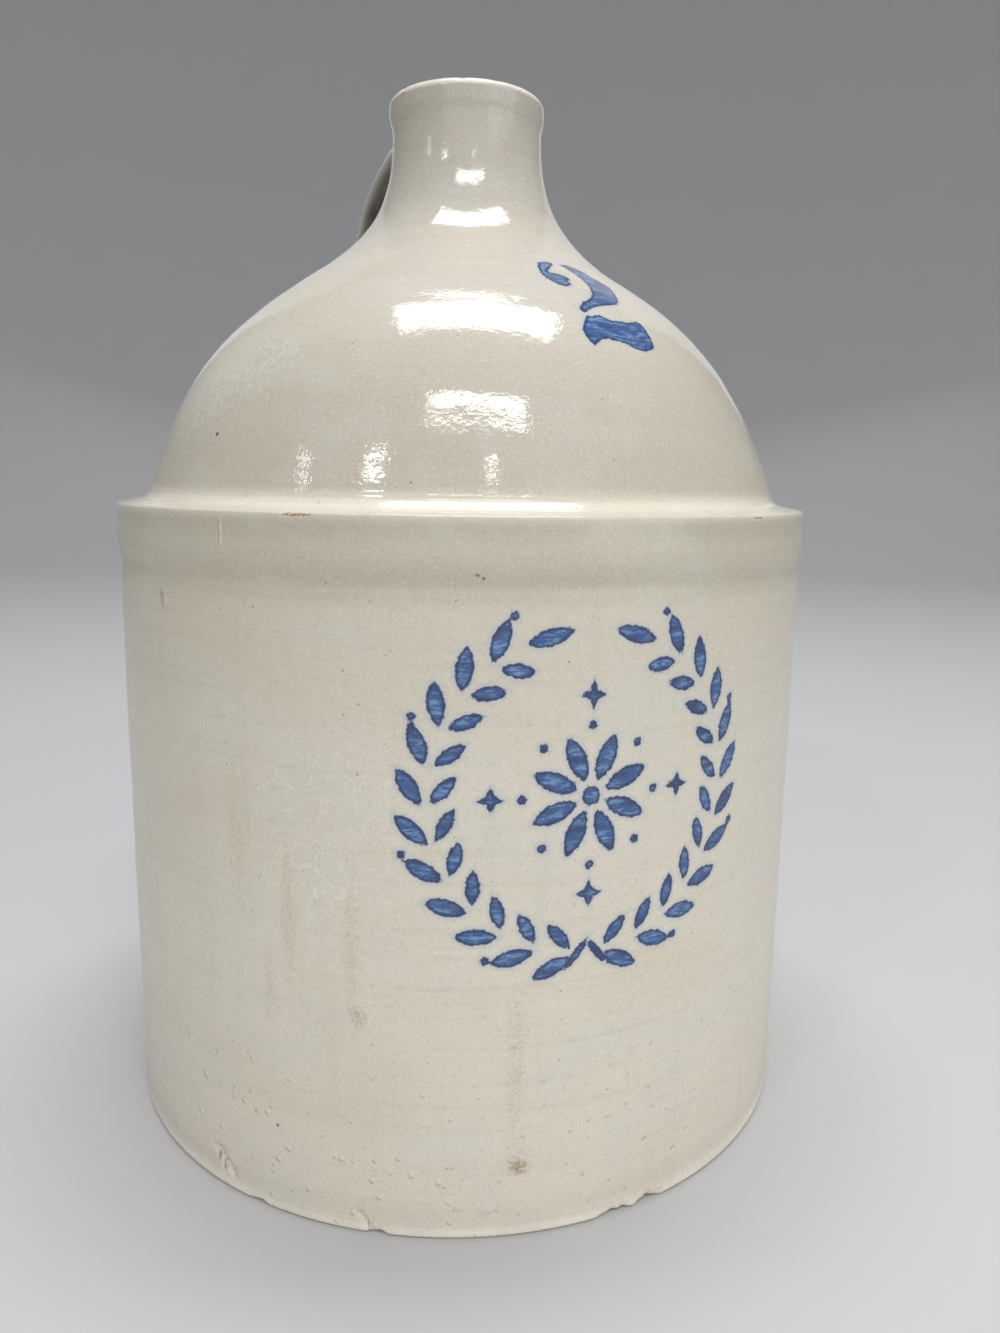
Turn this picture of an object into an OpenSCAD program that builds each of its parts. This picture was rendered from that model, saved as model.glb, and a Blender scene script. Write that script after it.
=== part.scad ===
// Two gallon stoneware shoulder jug: a straight body with a ledge, a domed shoulder,
// a short neck with a small lip and one strap handle at the back (+Y).
// Millimetres. The origin is the centre of the foot, +Z is up and the front is -Y.
// The pieces are the leather-hard parts that a potter sticks together with slip.

/* [Body] */
// Outer diameter of the body, over the band under the ledge
body_d = 228; // [200:1:260]
// Height of the ledge's outer edge above the foot
ledge_h = 196; // [140:1:260]
// Thickness of the body's wall
wall_t = 9; // [7:0.5:12]
// Thickness of the floor
floor_t = 12; // [10:0.5:16]
// Bevel round the foot
foot_bevel = 1; // [0.5:0.5:5]
// Height of the proud band under the ledge
band_h = 18; // [10:1:30]
// How far the band stands proud of the wall
band_proud = 0.4; // [0.2:0.1:1.5]
// Width of the shallow groove under the band
groove_w = 4; // [2:0.5:8]
// Depth of that groove
groove_d = 0.6; // [0.3:0.1:1.2]

/* [Ledge] */
// Width of the ledge, from the body's edge to the foot of the dome
ledge_w = 11; // [8:0.5:20]
// How much the ledge climbs from its edge to the dome
ledge_rise = 2; // [0.5:0.5:4]
// Rounding of the ledge's edge
ledge_r = 0.8; // [0.5:0.1:3]
// Depth of the seat that the dome stands in
seat_d = 5; // [3:0.5:8]
// Thickness of the gallery under the seat
gallery_t = 8; // [6:0.5:14]

/* [Shoulder] */
// Height of the dome, from the ledge's edge to the bend where the neck begins
dome_h = 73; // [60:1:90]
// Diameter at that bend
bend_d = 100; // [90:1:116]
// Thickness of the dome
dome_t = 8; // [6:0.5:10]
// Lean of the dome at its foot, in degrees from upright
foot_lean = 18; // [8:1:26]
// Lean of the wall at the bend, in degrees from upright
bend_lean = 56.5; // [50:0.5:62]

/* [Neck] */
// Height from the bend to the narrowest place of the neck
neck_h = 45; // [38:1:56]
// Diameter at the narrowest place
waist_d = 48.4; // [42:0.2:54]
// Height from the narrowest place to the top of the lip
lip_h = 10.5; // [9:0.5:14]
// Diameter of the lip
lip_d = 50.2; // [48.4:0.2:60]
// Rounding of the lip's outer edge
lip_r = 2.4; // [1:0.2:3]
// Diameter of the mouth
mouth_d = 28; // [22:0.5:32]
// Depth of the straight part of the mouth
mouth_depth = 18; // [14:0.5:24]
// Rounding of the mouth's edge
mouth_r = 3; // [1:0.5:3.5]

/* [Handle] */
// Width of the strap halfway along
handle_w = 29; // [20:1:36]
// Thickness of the strap halfway along
handle_t = 11; // [8:0.5:14]
// How far the middle of the strap's upper end lies below the top of the lip
handle_below = 10.5; // [9:0.5:13]
// How straight the strap runs out from the neck
handle_reach = 30; // [26:1:44]
// How straight the strap comes down to the shoulder
handle_drop = 46; // [36:1:52]
// Climb of the strap as it leaves the neck, in degrees
handle_climb = 5; // [0:1:15]
// Steepness of the strap where it meets the shoulder, in degrees
handle_fall = 64; // [56:1:78]

/* [Luting] */
// Thickness of the slip in the joints
slip_t = 0.8; // [0.4:0.1:1.2]
// Radius of the cove wiped round the foot of the dome
cove_r = 3.6; // [2:0.2:6]
// Radius of the cove wiped into the corner of the floor
corner_r = 6; // [3:0.5:10]

/* [Hidden] */
$fn = 120;
clay = "#e4ddce";
glaze = "#efe9dc";
slip = "#cbbfa9";

// Shares that the outlines follow, chosen by eye
rim_share = 0.5;            // height of the floor's rim, of the floor's thickness
dome_arm_shares = [0.42, 0.40];
neck_arm_shares = [0.42, 0.43];
throat_arm_shares = [0.42, 0.42];
lip_swell_share = 0.62;     // height of the lip's widest place, of the lip's height
collar_share = 0.5;         // place of the seam between dome and neck, along the neck's curve
collar_lap_share = 0.4;     // height of the collar's lap, of the wall's thickness there
foot_place_share = 0.635;   // place of the strap's foot, along the dome's curve
top_flare_share = 0.16;     // how much wider the strap is at the neck
foot_flare_share = 0.30;    // how much wider the strap is at the shoulder
flare_power = 5;            // how quickly those flares die away
strap_round = 0.72;         // 1 gives an oval strap, less gives a squarer one

// Angle over which the ledge's edge is rounded, from the wall towards the ledge
ledge_edge_angle = 80;

// Steps along each curve, and sides round the strap
dome_steps = 18;
neck_steps = 14;
arc_steps = 8;
strap_steps = 30;
strap_sides = 24;

// Heights and radii worked out from the sizes above
band_rad = body_d / 2;
body_rad = band_rad - band_proud;
wall_in = body_rad - wall_t;
rim_z = floor_t * rim_share;
plug_rad = wall_in - slip_t;
groove_z = ledge_h - band_h;
dome_rad = band_rad - ledge_w;
seat_rad = dome_rad + slip_t;
ledge_top = ledge_h + ledge_rise;
seat_z = ledge_top - seat_d;
bend_z = ledge_h + dome_h;
waist_z = bend_z + neck_h;
top_z = waist_z + lip_h;
mouth_z = top_z - mouth_depth;

// A point on the curve with ends a and d and arms b and c, and the direction there
function on_curve(a, b, c, d, t) = pow(1 - t, 3) * a + 3 * pow(1 - t, 2) * t * b
    + 3 * (1 - t) * t * t * c + pow(t, 3) * d;
function along_curve(a, b, c, d, t) = pow(1 - t, 2) * (b - a) + 2 * (1 - t) * t * (c - b)
    + t * t * (d - c);
function unit(v) = v / norm(v);
// Upward direction that leans inwards by this angle
function lean(angle) = [-sin(angle), cos(angle)];
// Inward normal of a direction that climbs
function inward(v) = [-unit(v)[1], unit(v)[0]];

// Dome and neck, as [radius, height]: foot of the dome, bend and waist with their arms
dome_start = [dome_rad, ledge_top + cove_r];
bend = [bend_d / 2, bend_z];
waist = [waist_d / 2, waist_z];
dome_chord = norm(bend - dome_start);
neck_chord = norm(waist - bend);
dome_arms = [dome_start + dome_chord * dome_arm_shares[0] * lean(foot_lean),
    bend - dome_chord * dome_arm_shares[1] * lean(bend_lean)];
neck_arms = [bend + neck_chord * neck_arm_shares[0] * lean(bend_lean),
    waist - neck_chord * neck_arm_shares[1] * lean(0)];
function dome_at(t) = on_curve(dome_start, dome_arms[0], dome_arms[1], bend, t);
function dome_way(t) = along_curve(dome_start, dome_arms[0], dome_arms[1], bend, t);
function neck_at(t) = on_curve(bend, neck_arms[0], neck_arms[1], waist, t);
function neck_way(t) = along_curve(bend, neck_arms[0], neck_arms[1], waist, t);

// Inside of the dome, and the throat that leads from it to the mouth
throat = bend + dome_t * inward(lean(bend_lean));
mouth = [mouth_d / 2, mouth_z];
throat_chord = norm(mouth - throat);
throat_arms = [throat + throat_chord * throat_arm_shares[0] * lean(bend_lean),
    mouth - throat_chord * throat_arm_shares[1] * lean(0)];
function inside_at(t) = dome_at(t) + dome_t * inward(dome_way(t));
function throat_at(t) = on_curve(throat, throat_arms[0], throat_arms[1], mouth, t);
skirt_in = inside_at(0)[0];

// Points of the outside, grown by a gap, and of the inside, both from the bottom up
function outside_points(gap) = concat(
    [for (i = [0:dome_steps]) dome_at(i / dome_steps) - gap * inward(dome_way(i / dome_steps))],
    [for (i = [1:neck_steps]) neck_at(i / neck_steps) - gap * inward(neck_way(i / neck_steps))]);
inside_points = concat(
    [for (i = [0:dome_steps]) inside_at(i / dome_steps)],
    [for (i = [1:neck_steps]) throat_at(i / neck_steps)]);
function flipped(list) = [for (i = [len(list) - 1:-1:0]) list[i]];
// Points of an arc round a centre, between two angles
function arc(centre, rad, from, to) = [for (i = [0:arc_steps])
    let (a = from + (to - from) * i / arc_steps) centre + rad * [cos(a), sin(a)]];

// Lip, from the waist to the top and into the mouth
lip_rad = lip_d / 2;
swell_z = waist_z + lip_h * lip_swell_share;
lip_arm = (swell_z - waist_z) / 2;
function swell_points(gap) = [for (i = [1:arc_steps]) [gap, 0] + on_curve(waist,
    waist + [0, lip_arm], [lip_rad, swell_z - lip_arm], [lip_rad, swell_z], i / arc_steps)];
lip_points = concat(swell_points(0),
    arc([lip_rad - lip_r, top_z - lip_r], lip_r, 0, 90),
    arc([mouth_d / 2 + mouth_r, top_z - mouth_r], mouth_r, 90, 180));

// Seam between dome and neck
seam = neck_at(collar_share);
seam_t = seam[0] - lookup(seam[1], [for (p = inside_points) [p[1], p[0]]]);
collar_rad = seam[0] - seam_t / 2;
lap_z = seam[1] + seam_t * collar_lap_share;

// Half section of dome, neck and lip in one, from the seat to the mouth
module shoulder_section() {
    polygon(concat(
        [[skirt_in, seat_z + slip_t], [dome_rad, seat_z + slip_t]],
        outside_points(0), lip_points, flipped(inside_points)));
}

// What lies below the seam, raised by a gap: the dome's collar laps inside the neck
module below_seam(gap) {
    square([collar_rad + gap, lap_z + gap]);
    square([body_d, seam[1] + gap]);
}

// Rounded edge of the ledge, its outer end, how steeply the ledge falls outwards, and its height
ledge_edge = arc([band_rad - ledge_r, ledge_h - ledge_r], ledge_r, 0, ledge_edge_angle);
ledge_outer = ledge_edge[arc_steps];
ledge_fall = atan2(ledge_top - ledge_outer[1], ledge_outer[0] - seat_rad);
function ledge_at(rad) = ledge_top - (rad - seat_rad) * tan(ledge_fall);

// Middle of the cove, which touches the dome and the falling ledge
cove_mid = [dome_rad + cove_r,
    ledge_at(dome_rad + cove_r * (1 - sin(ledge_fall))) + cove_r * cos(ledge_fall)];

// Half section of the wall, with the groove, the band, the ledge and the dome's seat
module wall_section() {
    polygon(concat(
        [[wall_in, rim_z + slip_t], [body_rad, rim_z + slip_t], [body_rad, groove_z - groove_w],
            [body_rad - groove_d, groove_z - groove_w / 2], [band_rad, groove_z]],
        ledge_edge,
        [[seat_rad, ledge_top], [seat_rad, seat_z], [skirt_in, seat_z],
            [skirt_in, seat_z - gallery_t / 2], [wall_in, seat_z - gallery_t - (wall_in - skirt_in)]]));
}

// Solid of everything that dome, neck and lip reach, grown by a gap
module shoulder_envelope(gap) {
    rotate_extrude() polygon(concat(
        [[0, ledge_h], [dome_rad + gap, ledge_h]], outside_points(gap), swell_points(gap),
        [[lip_rad + gap, top_z], [0, top_z]]));
}

// Middle line of the strap, as [distance from the axis, height], past the surface at both ends
strap_top = [waist_d / 2, top_z - handle_below];
strap_foot = dome_at(foot_place_share);
climb = [cos(handle_climb), sin(handle_climb)];
fall = [-cos(handle_fall), -sin(handle_fall)];
strap_arms = [strap_top + handle_reach * climb, strap_foot - handle_drop * fall];
root = handle_t;
function strap_at(t) = on_curve(strap_top, strap_arms[0], strap_arms[1], strap_foot, t);
function strap_way(t) = unit(along_curve(strap_top, strap_arms[0], strap_arms[1], strap_foot, t));
function flare(t) = 1 + top_flare_share * pow(1 - t, flare_power) + foot_flare_share * pow(t, flare_power);
// One ring of the strap's surface: half width, half thickness, middle and direction
function rounded(v) = sign(v) * pow(abs(v), strap_round);
function ring(half_w, half_t, middle, way) = [for (i = [0:strap_sides - 1])
    let (a = 360 * i / strap_sides, out = middle + half_t * rounded(sin(a)) * [-way[1], way[0]])
        [half_w * rounded(cos(a)), out[0], out[1]]];

// The strap before its ends are cut to the neck and the shoulder, grown sideways by a gap
module strap(gap) {
    rings = concat(
        [ring(handle_w * flare(0) / 2 + gap, handle_t * flare(0) / 2 + gap,
            strap_top - root * climb, climb)],
        [for (i = [0:strap_steps]) let (t = i / strap_steps)
            ring(handle_w * flare(t) / 2 + gap, handle_t * flare(t) / 2 + gap,
                strap_at(t), strap_way(t))],
        [ring(handle_w * flare(1) / 2 + gap, handle_t * flare(1) / 2 + gap,
            strap_foot + root * fall, fall)]);
    last = len(rings) - 1;
    around = [for (r = [0:last - 1]) for (i = [0:strap_sides - 1])
        let (j = (i + 1) % strap_sides, here = r * strap_sides, next = here + strap_sides)
            each [[here + i, next + i, next + j], [here + i, next + j, here + j]]];
    polyhedron([for (r = rings) each r], concat(around,
        [[for (i = [0:strap_sides - 1]) i]],
        [[for (i = [strap_sides - 1:-1:0]) last * strap_sides + i]]));
}

// Thin slip between the strap and the jug, in the upper or the lower half
module strap_slip(low, high) {
    difference() {
        intersection() {
            strap(slip_t);
            shoulder_envelope(slip_t);
            translate([-body_d / 2, 0, low]) cube([body_d, body_d, high - low]);
        }
        shoulder_envelope(0);
    }
}

module base_disc() {
    color(clay) rotate_extrude() polygon([[0, 0], [body_rad - foot_bevel, 0], [body_rad, foot_bevel],
        [body_rad, rim_z], [plug_rad, rim_z], [plug_rad, floor_t], [0, floor_t]]);
}

module body_wall() {
    color(glaze) rotate_extrude() wall_section();
}

module shoulder_dome() {
    color(glaze) rotate_extrude() intersection() {
        shoulder_section();
        below_seam(0);
    }
}

module neck() {
    color(glaze) rotate_extrude() difference() {
        shoulder_section();
        below_seam(slip_t);
    }
}

module handle() {
    color(glaze) difference() {
        strap(0);
        shoulder_envelope(slip_t);
    }
}

module base_slip() {
    color(slip) rotate_extrude() polygon(concat(
        [[plug_rad, rim_z], [body_rad, rim_z], [body_rad, rim_z + slip_t], [wall_in, rim_z + slip_t]],
        arc([wall_in - corner_r, floor_t + corner_r], corner_r, 0, -90),
        [[plug_rad, floor_t]]));
}

module shoulder_slip() {
    color(slip) rotate_extrude() polygon(concat(
        [[skirt_in, seat_z + slip_t], [skirt_in, seat_z], [seat_rad, seat_z], [seat_rad, ledge_top]],
        flipped(arc(cove_mid, cove_r, 180, 270 - ledge_fall)),
        [[dome_rad, seat_z + slip_t]]));
}

module neck_slip() {
    color(slip) rotate_extrude() difference() {
        intersection() {
            shoulder_section();
            below_seam(slip_t);
        }
        below_seam(0);
    }
}

module handle_top_slip() {
    color(slip) strap_slip(bend_z, top_z);
}

module handle_foot_slip() {
    color(slip) strap_slip(ledge_top, bend_z);
}

base_disc();
body_wall();
shoulder_dome();
neck();
handle();
base_slip();
shoulder_slip();
neck_slip();
handle_top_slip();
handle_foot_slip();
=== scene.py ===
# Two gallon stoneware crock jug: its glaze, marks and hand-made surface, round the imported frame.
# Shapes are worked out in millimetres and turned into metres when a mesh is made.
# A place on the jug is given by its bearing, in degrees from the front (-Y) towards +X, and its height.
import bmesh
import bpy
import math
import numpy as np
from mathutils import Matrix, Vector


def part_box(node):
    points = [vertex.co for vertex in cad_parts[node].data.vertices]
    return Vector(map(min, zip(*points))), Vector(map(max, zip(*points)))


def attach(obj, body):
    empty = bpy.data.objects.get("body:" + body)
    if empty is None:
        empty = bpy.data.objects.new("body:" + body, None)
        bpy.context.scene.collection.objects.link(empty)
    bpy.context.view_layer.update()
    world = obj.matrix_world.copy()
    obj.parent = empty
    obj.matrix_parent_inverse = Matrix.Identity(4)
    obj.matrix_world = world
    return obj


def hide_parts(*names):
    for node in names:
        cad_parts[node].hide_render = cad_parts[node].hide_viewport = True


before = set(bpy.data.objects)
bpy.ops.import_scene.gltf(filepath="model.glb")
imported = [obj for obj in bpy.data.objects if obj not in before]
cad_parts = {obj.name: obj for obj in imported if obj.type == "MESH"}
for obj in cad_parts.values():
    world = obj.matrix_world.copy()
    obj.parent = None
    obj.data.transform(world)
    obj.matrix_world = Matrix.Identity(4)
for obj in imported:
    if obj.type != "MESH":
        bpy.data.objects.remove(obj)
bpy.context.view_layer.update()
print("frame loaded:", len(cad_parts), "nodes")

millimetre = 0.001
lowest, highest = {}, {}
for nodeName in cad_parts:
    lowest[nodeName], highest[nodeName] = (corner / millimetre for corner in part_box(nodeName))

# Camera

viewpoint = {
    "lens": 27.0,
    "distance": 0.354,  # from the jug's axis, in metres like its height
    "height": 0.2036,
    "bearing": 24.0,    # how far it stands to the left of the jug's front
    "pan": 2.15,
    "pitch": 10.4,      # looking down
    "roll": 0.83,
    "near": 0.01,
}


def setCamera():
    bearing, pan, pitch, roll = (math.radians(viewpoint[k]) for k in ("bearing", "pan", "pitch", "roll"))
    ahead = Vector((math.sin(pan) * math.cos(pitch), math.cos(pan) * math.cos(pitch), -math.sin(pitch)))
    side = Vector((math.cos(pan), -math.sin(pan), 0))
    above = side.cross(ahead)
    right = side * math.cos(roll) + above * math.sin(roll)
    up = above * math.cos(roll) - side * math.sin(roll)
    around = Matrix.Rotation(-bearing, 3, "Z")
    camera = bpy.data.objects.new("camera", bpy.data.cameras.new("camera"))
    bpy.context.scene.collection.objects.link(camera)
    camera.data.lens = viewpoint["lens"]
    camera.data.clip_start = viewpoint["near"]
    stand = around @ Vector((0, -viewpoint["distance"], viewpoint["height"]))
    axes = around @ Matrix((right, up, -ahead)).transposed()
    camera.matrix_world = Matrix.Translation(stand) @ axes.to_4x4()
    bpy.context.scene.camera = camera


setCamera()
bpy.context.scene.view_settings.view_transform = "Standard"
print("camera placed")

# Outline of the jug, as [radius, height] in millimetres, up the outside and into the mouth

bodyRad = highest["body_wall"].x
footTop = lowest["base_slip"].z
wallLow = lowest["body_wall"].z
ledgeTop = highest["body_wall"].z
domeLow = lowest["shoulder_dome"].z
lipTop = highest["neck"].z
floorTop = highest["base_disc"].z

potter = {
    "footRad": bodyRad - 0.45,
    "footFlat": 5.0,
    "footInset": 0.14,
    # the two rounds of the foot's rim: middle, seen from the foot's radius, then radius, angles and steps
    "footRounds": [(-1.2, 0.4, 0.4, 270, 315, 4), (-1.05, 1.35, 1.0, 318, 360, 5)],
    "wallThick": 9.0,
    "wallInset": 0.4,
    "slipThick": 0.8,
    "bandFrom": 165.0,
    # heights, and how far the wall lies inside its greatest radius there, from foot to ledge
    "wallPath": [(6.8, 0.62), (20, 0.5), (60, 0.45), (110, 0.45), (150, 0.5), (165, 0.52), (171, 0.58),
                 (175.6, 0.78), (178.8, 1.15), (181.4, 0.8), (184, 0.34), (187, 0.24), (190, 0.33),
                 (193, 0.5), (195, 0.55)],
    "wallSteps": 8,
    "ledgeRise": 2.0,
    "ledgeRound": 0.8,
    "ledgeEdgeAngle": 80,
    "ledgeWorn": 0.55,
    "ledgeWornTop": 0.4,     # share of that wear at the top of its round
    "coveRad": 5.0,
    "coveSteps": 14,
    "roundSteps": 12,
    "seatDepth": 5.0,
    "galleryDepth": 4.0,     # of the inner shelf that holds the dome, at its own edge
    "galleryBlend": 4.0,     # how much farther down than 45 degrees its underside runs
    "domeFoot": (bodyRad - 11, ledgeTop + 3.6),
    "bend": (50.0, ledgeTop + 71.0),
    "waist": (24.2, lipTop - 10.5),
    "footLean": 18,
    "bendLean": 56.5,
    "domeArms": (0.42, 0.40),
    "neckArms": (0.42, 0.43),
    "throatArms": (0.42, 0.42),
    "domeThick": 8.0,
    "lipRad": 25.1,
    "lipSwell": 6.51,
    "lipRound": 2.4,
    "mouthRad": 14.0,
    "mouthDepth": 18.0,
    "mouthRound": 3.0,
    "collarSeam": 0.5,       # share of the neck's curve that lies below it
    "lapShare": 0.4,
    "curveSteps": 240,
    "floorCorner": 6.0,
    "floorSteps": 8,
    "floorRings": (4.0, 12.0, 8),    # inset of the first, radius of the last, and their number
    "wallInsideRows": 12,
    "domeInsideStep": 3.2,
    "hiddenShare": 0.3,      # how much of the texture hidden rows take, beside shown ones
}


def cubic(a, b, c, d, t):
    return (1 - t) ** 3 * a + 3 * (1 - t) ** 2 * t * b + 3 * (1 - t) * t ** 2 * c + t ** 3 * d


def arched(start, end, leans, arms, steps):
    # a curve from one point to another, whose arms lean inwards and are shares of the distance
    chord = np.hypot(*(end - start))
    return cubic(start, start + chord * arms[0] * leaning(leans[0]),
                 end - chord * arms[1] * leaning(leans[1]), end, np.linspace(0, 1, steps + 1)[:, None])


def bow(middle, rad, first, last, steps):
    turn = np.radians(np.linspace(first, last, steps + 1))
    return np.array(middle) + rad * np.column_stack([np.cos(turn), np.sin(turn)])


def heading(angle):
    return np.array([math.cos(math.radians(angle)), math.sin(math.radians(angle))])


def leaning(angle):
    return np.array([-math.sin(math.radians(angle)), math.cos(math.radians(angle))])


def smoothPath(knots, steps):
    # a curve through all knots, with its slope at each knot from the knots beside it
    knots = np.array(knots, float)
    x, y = knots[:, 0], knots[:, 1]
    slope = np.gradient(y, x)
    found = []
    for i in range(len(x) - 1):
        t = np.linspace(0, 1, steps, endpoint=False)
        span = x[i + 1] - x[i]
        found.append(np.column_stack([
            x[i] + t * span,
            (2 * t ** 3 - 3 * t ** 2 + 1) * y[i] + (t ** 3 - 2 * t ** 2 + t) * span * slope[i]
            + (3 * t ** 2 - 2 * t ** 3) * y[i + 1] + (t ** 3 - t ** 2) * span * slope[i + 1]]))
    found.append(knots[-1:])
    return np.vstack(found)


def spaced(path, step):
    # the same path with points no more than a step apart, both ends kept
    path = np.array(path, float)
    run = np.concatenate([[0], np.cumsum(np.hypot(*np.diff(path, axis=0).T))])
    marks = np.linspace(0, run[-1], max(2, int(math.ceil(run[-1] / step)) + 1))
    return np.column_stack([np.interp(marks, run, path[:, 0]), np.interp(marks, run, path[:, 1])])


def offsetInward(path, gap):
    way = np.gradient(path, axis=0)
    way /= np.hypot(*way.T)[:, None]
    return path + gap * np.column_stack([-way[:, 1], way[:, 0]])


p = potter
bend, waist, domeFoot = np.array(p["bend"]), np.array(p["waist"]), np.array(p["domeFoot"])
domeCurve = arched(domeFoot, bend, (p["footLean"], p["bendLean"]), p["domeArms"], p["curveSteps"])
neckCurve = arched(bend, waist, (p["bendLean"], 0), p["neckArms"], p["curveSteps"])
insideDome = offsetInward(domeCurve, p["domeThick"])
throatTop = np.array([p["mouthRad"], lipTop - p["mouthDepth"]])
throatCurve = arched(insideDome[-1], throatTop, (p["bendLean"], 0), p["throatArms"], p["curveSteps"] // 2)
innerWall = np.vstack([insideDome, throatCurve])

ledgeEdge = bow((bodyRad - p["ledgeRound"], ledgeTop - p["ledgeRise"] - p["ledgeRound"]), p["ledgeRound"],
                0, p["ledgeEdgeAngle"], p["roundSteps"])
seatRad = domeFoot[0] + p["slipThick"]
ledgeFall = math.degrees(math.atan2(ledgeTop - ledgeEdge[-1, 1], ledgeEdge[-1, 0] - seatRad))
# the cove touches the dome's foot line and the falling ledge, on both sides of the corner where they meet
upDome, downLedge = leaning(p["footLean"]), leaning(-90 - ledgeFall)
reach = np.linalg.solve(np.column_stack([-upDome, -downLedge]), np.array([seatRad, ledgeTop]) - domeFoot)[0]
halfOpen = math.radians(90 + p["footLean"] + ledgeFall) / 2
halfway = (upDome + downLedge) / np.hypot(*(upDome + downLedge))
coveMid = domeFoot - reach * upDome + halfway * p["coveRad"] / math.sin(halfOpen)
cove = bow(coveMid, p["coveRad"], 270 - ledgeFall, 180 + p["footLean"], p["coveSteps"])
wallPath = smoothPath(p["wallPath"], p["wallSteps"])
wallPath = np.column_stack([bodyRad - wallPath[:, 1], wallPath[:, 0]])
ledgeEdge[:, 0] -= p["ledgeWorn"] * np.linspace(1, p["ledgeWornTop"], len(ledgeEdge))
swellTop = np.array([p["lipRad"], waist[1] + p["lipSwell"]])
swellArm = np.array([0, p["lipSwell"] / 2])
lip = np.vstack([
    cubic(waist, waist + swellArm, swellTop - swellArm, swellTop,
          np.linspace(0, 1, p["roundSteps"] + 1)[1:, None]),
    bow((p["lipRad"] - p["lipRound"], lipTop - p["lipRound"]), p["lipRound"], 0, 90, p["roundSteps"]),
    bow((p["mouthRad"] + p["mouthRound"], lipTop - p["mouthRound"]), p["mouthRound"], 90, 180,
        p["roundSteps"])])
footEdge = [p["footRad"] - p["footInset"], footTop]
footRim = [bow((p["footRad"] + aside, up), *turn) for aside, up, *turn in p["footRounds"]]
footRun = np.vstack([[[p["footRad"] - p["footFlat"], 0]]] + footRim + [[footEdge]])
seamIndex = int(p["collarSeam"] * p["curveSteps"])
seam = neckCurve[seamIndex]
upperNeck = neckCurve[seamIndex:]
cut = seam[1] + p["slipThick"]
lapAt = np.searchsorted(upperNeck[:, 1], cut)
cutPoint = np.array([np.interp(cut, upperNeck[:, 1], upperNeck[:, 0]), cut])


def insideRad(height):
    return float(np.interp(height, innerWall[:, 1], innerWall[:, 0]))


seamThick = seam[0] - insideRad(seam[1])
collarRad = seam[0] - seamThick / 2
lapHeight = seam[1] + seamThick * p["lapShare"]
innerLap = lapHeight + p["slipThick"]
throatAbove = throatCurve[throatCurve[:, 1] > innerLap][::-1]
# each run of the outside, with the spacing of its rows
runs = [
    ("rim", footRun, 0.55),
    ("footJoint", [footEdge, wallPath[0]], 0.5),
    ("wallLow", wallPath[wallPath[:, 1] <= p["bandFrom"]], 1.15),
    ("wallBand", np.vstack([wallPath[wallPath[:, 1] >= p["bandFrom"]], ledgeEdge]), 0.6),
    ("ledge", [ledgeEdge[-1], cove[0]], 0.5),
    ("cove", cove, 0.4),
    ("dome", np.vstack([cove[-1:], domeCurve, neckCurve[1:seamIndex + 1]]), 0.92),
    ("collar", [seam, cutPoint], 0.4),
    ("neck", np.vstack([cutPoint[None], upperNeck[lapAt:]]), 0.8),
    ("lip", np.vstack([waist[None], lip]), 0.42),
    ("bore", np.vstack([lip[-1:], [throatTop], throatAbove[1:], [[insideRad(innerLap), innerLap]]]), 1.6),
]
skinRows, runRows = [], {}
for runName, path, step in runs:
    rows = spaced(path, step)
    if skinRows:
        rows = rows[1:]
    first = max(0, len(skinRows) - 1)
    skinRows.extend(rows)
    runRows[runName] = (first, len(skinRows) - 1)
outline = np.array(skinRows)
outlineRun = np.concatenate([[0], np.cumsum(np.hypot(*np.diff(outline, axis=0).T))])
outlineWay = np.gradient(outline, outlineRun, axis=0)
outlineWay /= np.hypot(*outlineWay.T)[:, None]
outlineOut = np.column_stack([outlineWay[:, 1], -outlineWay[:, 0]])

# bearings of the columns: close together where the marks are, wider behind
wheel = {"fineFrom": -86.0, "fineTo": 40.0, "fineStep": 0.5, "wideCount": 150}
fineCount = int((wheel["fineTo"] - wheel["fineFrom"]) / wheel["fineStep"])
bearings = np.radians(np.concatenate([
    np.linspace(wheel["fineFrom"], wheel["fineTo"], fineCount, endpoint=False),
    np.linspace(wheel["fineTo"], wheel["fineFrom"] + 360, wheel["wideCount"], endpoint=False)]))
print("outline:", len(outline), "rows,", len(bearings), "columns")

# Hand-made surface: how far each point lies proud of the plain outline, in millimetres

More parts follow.
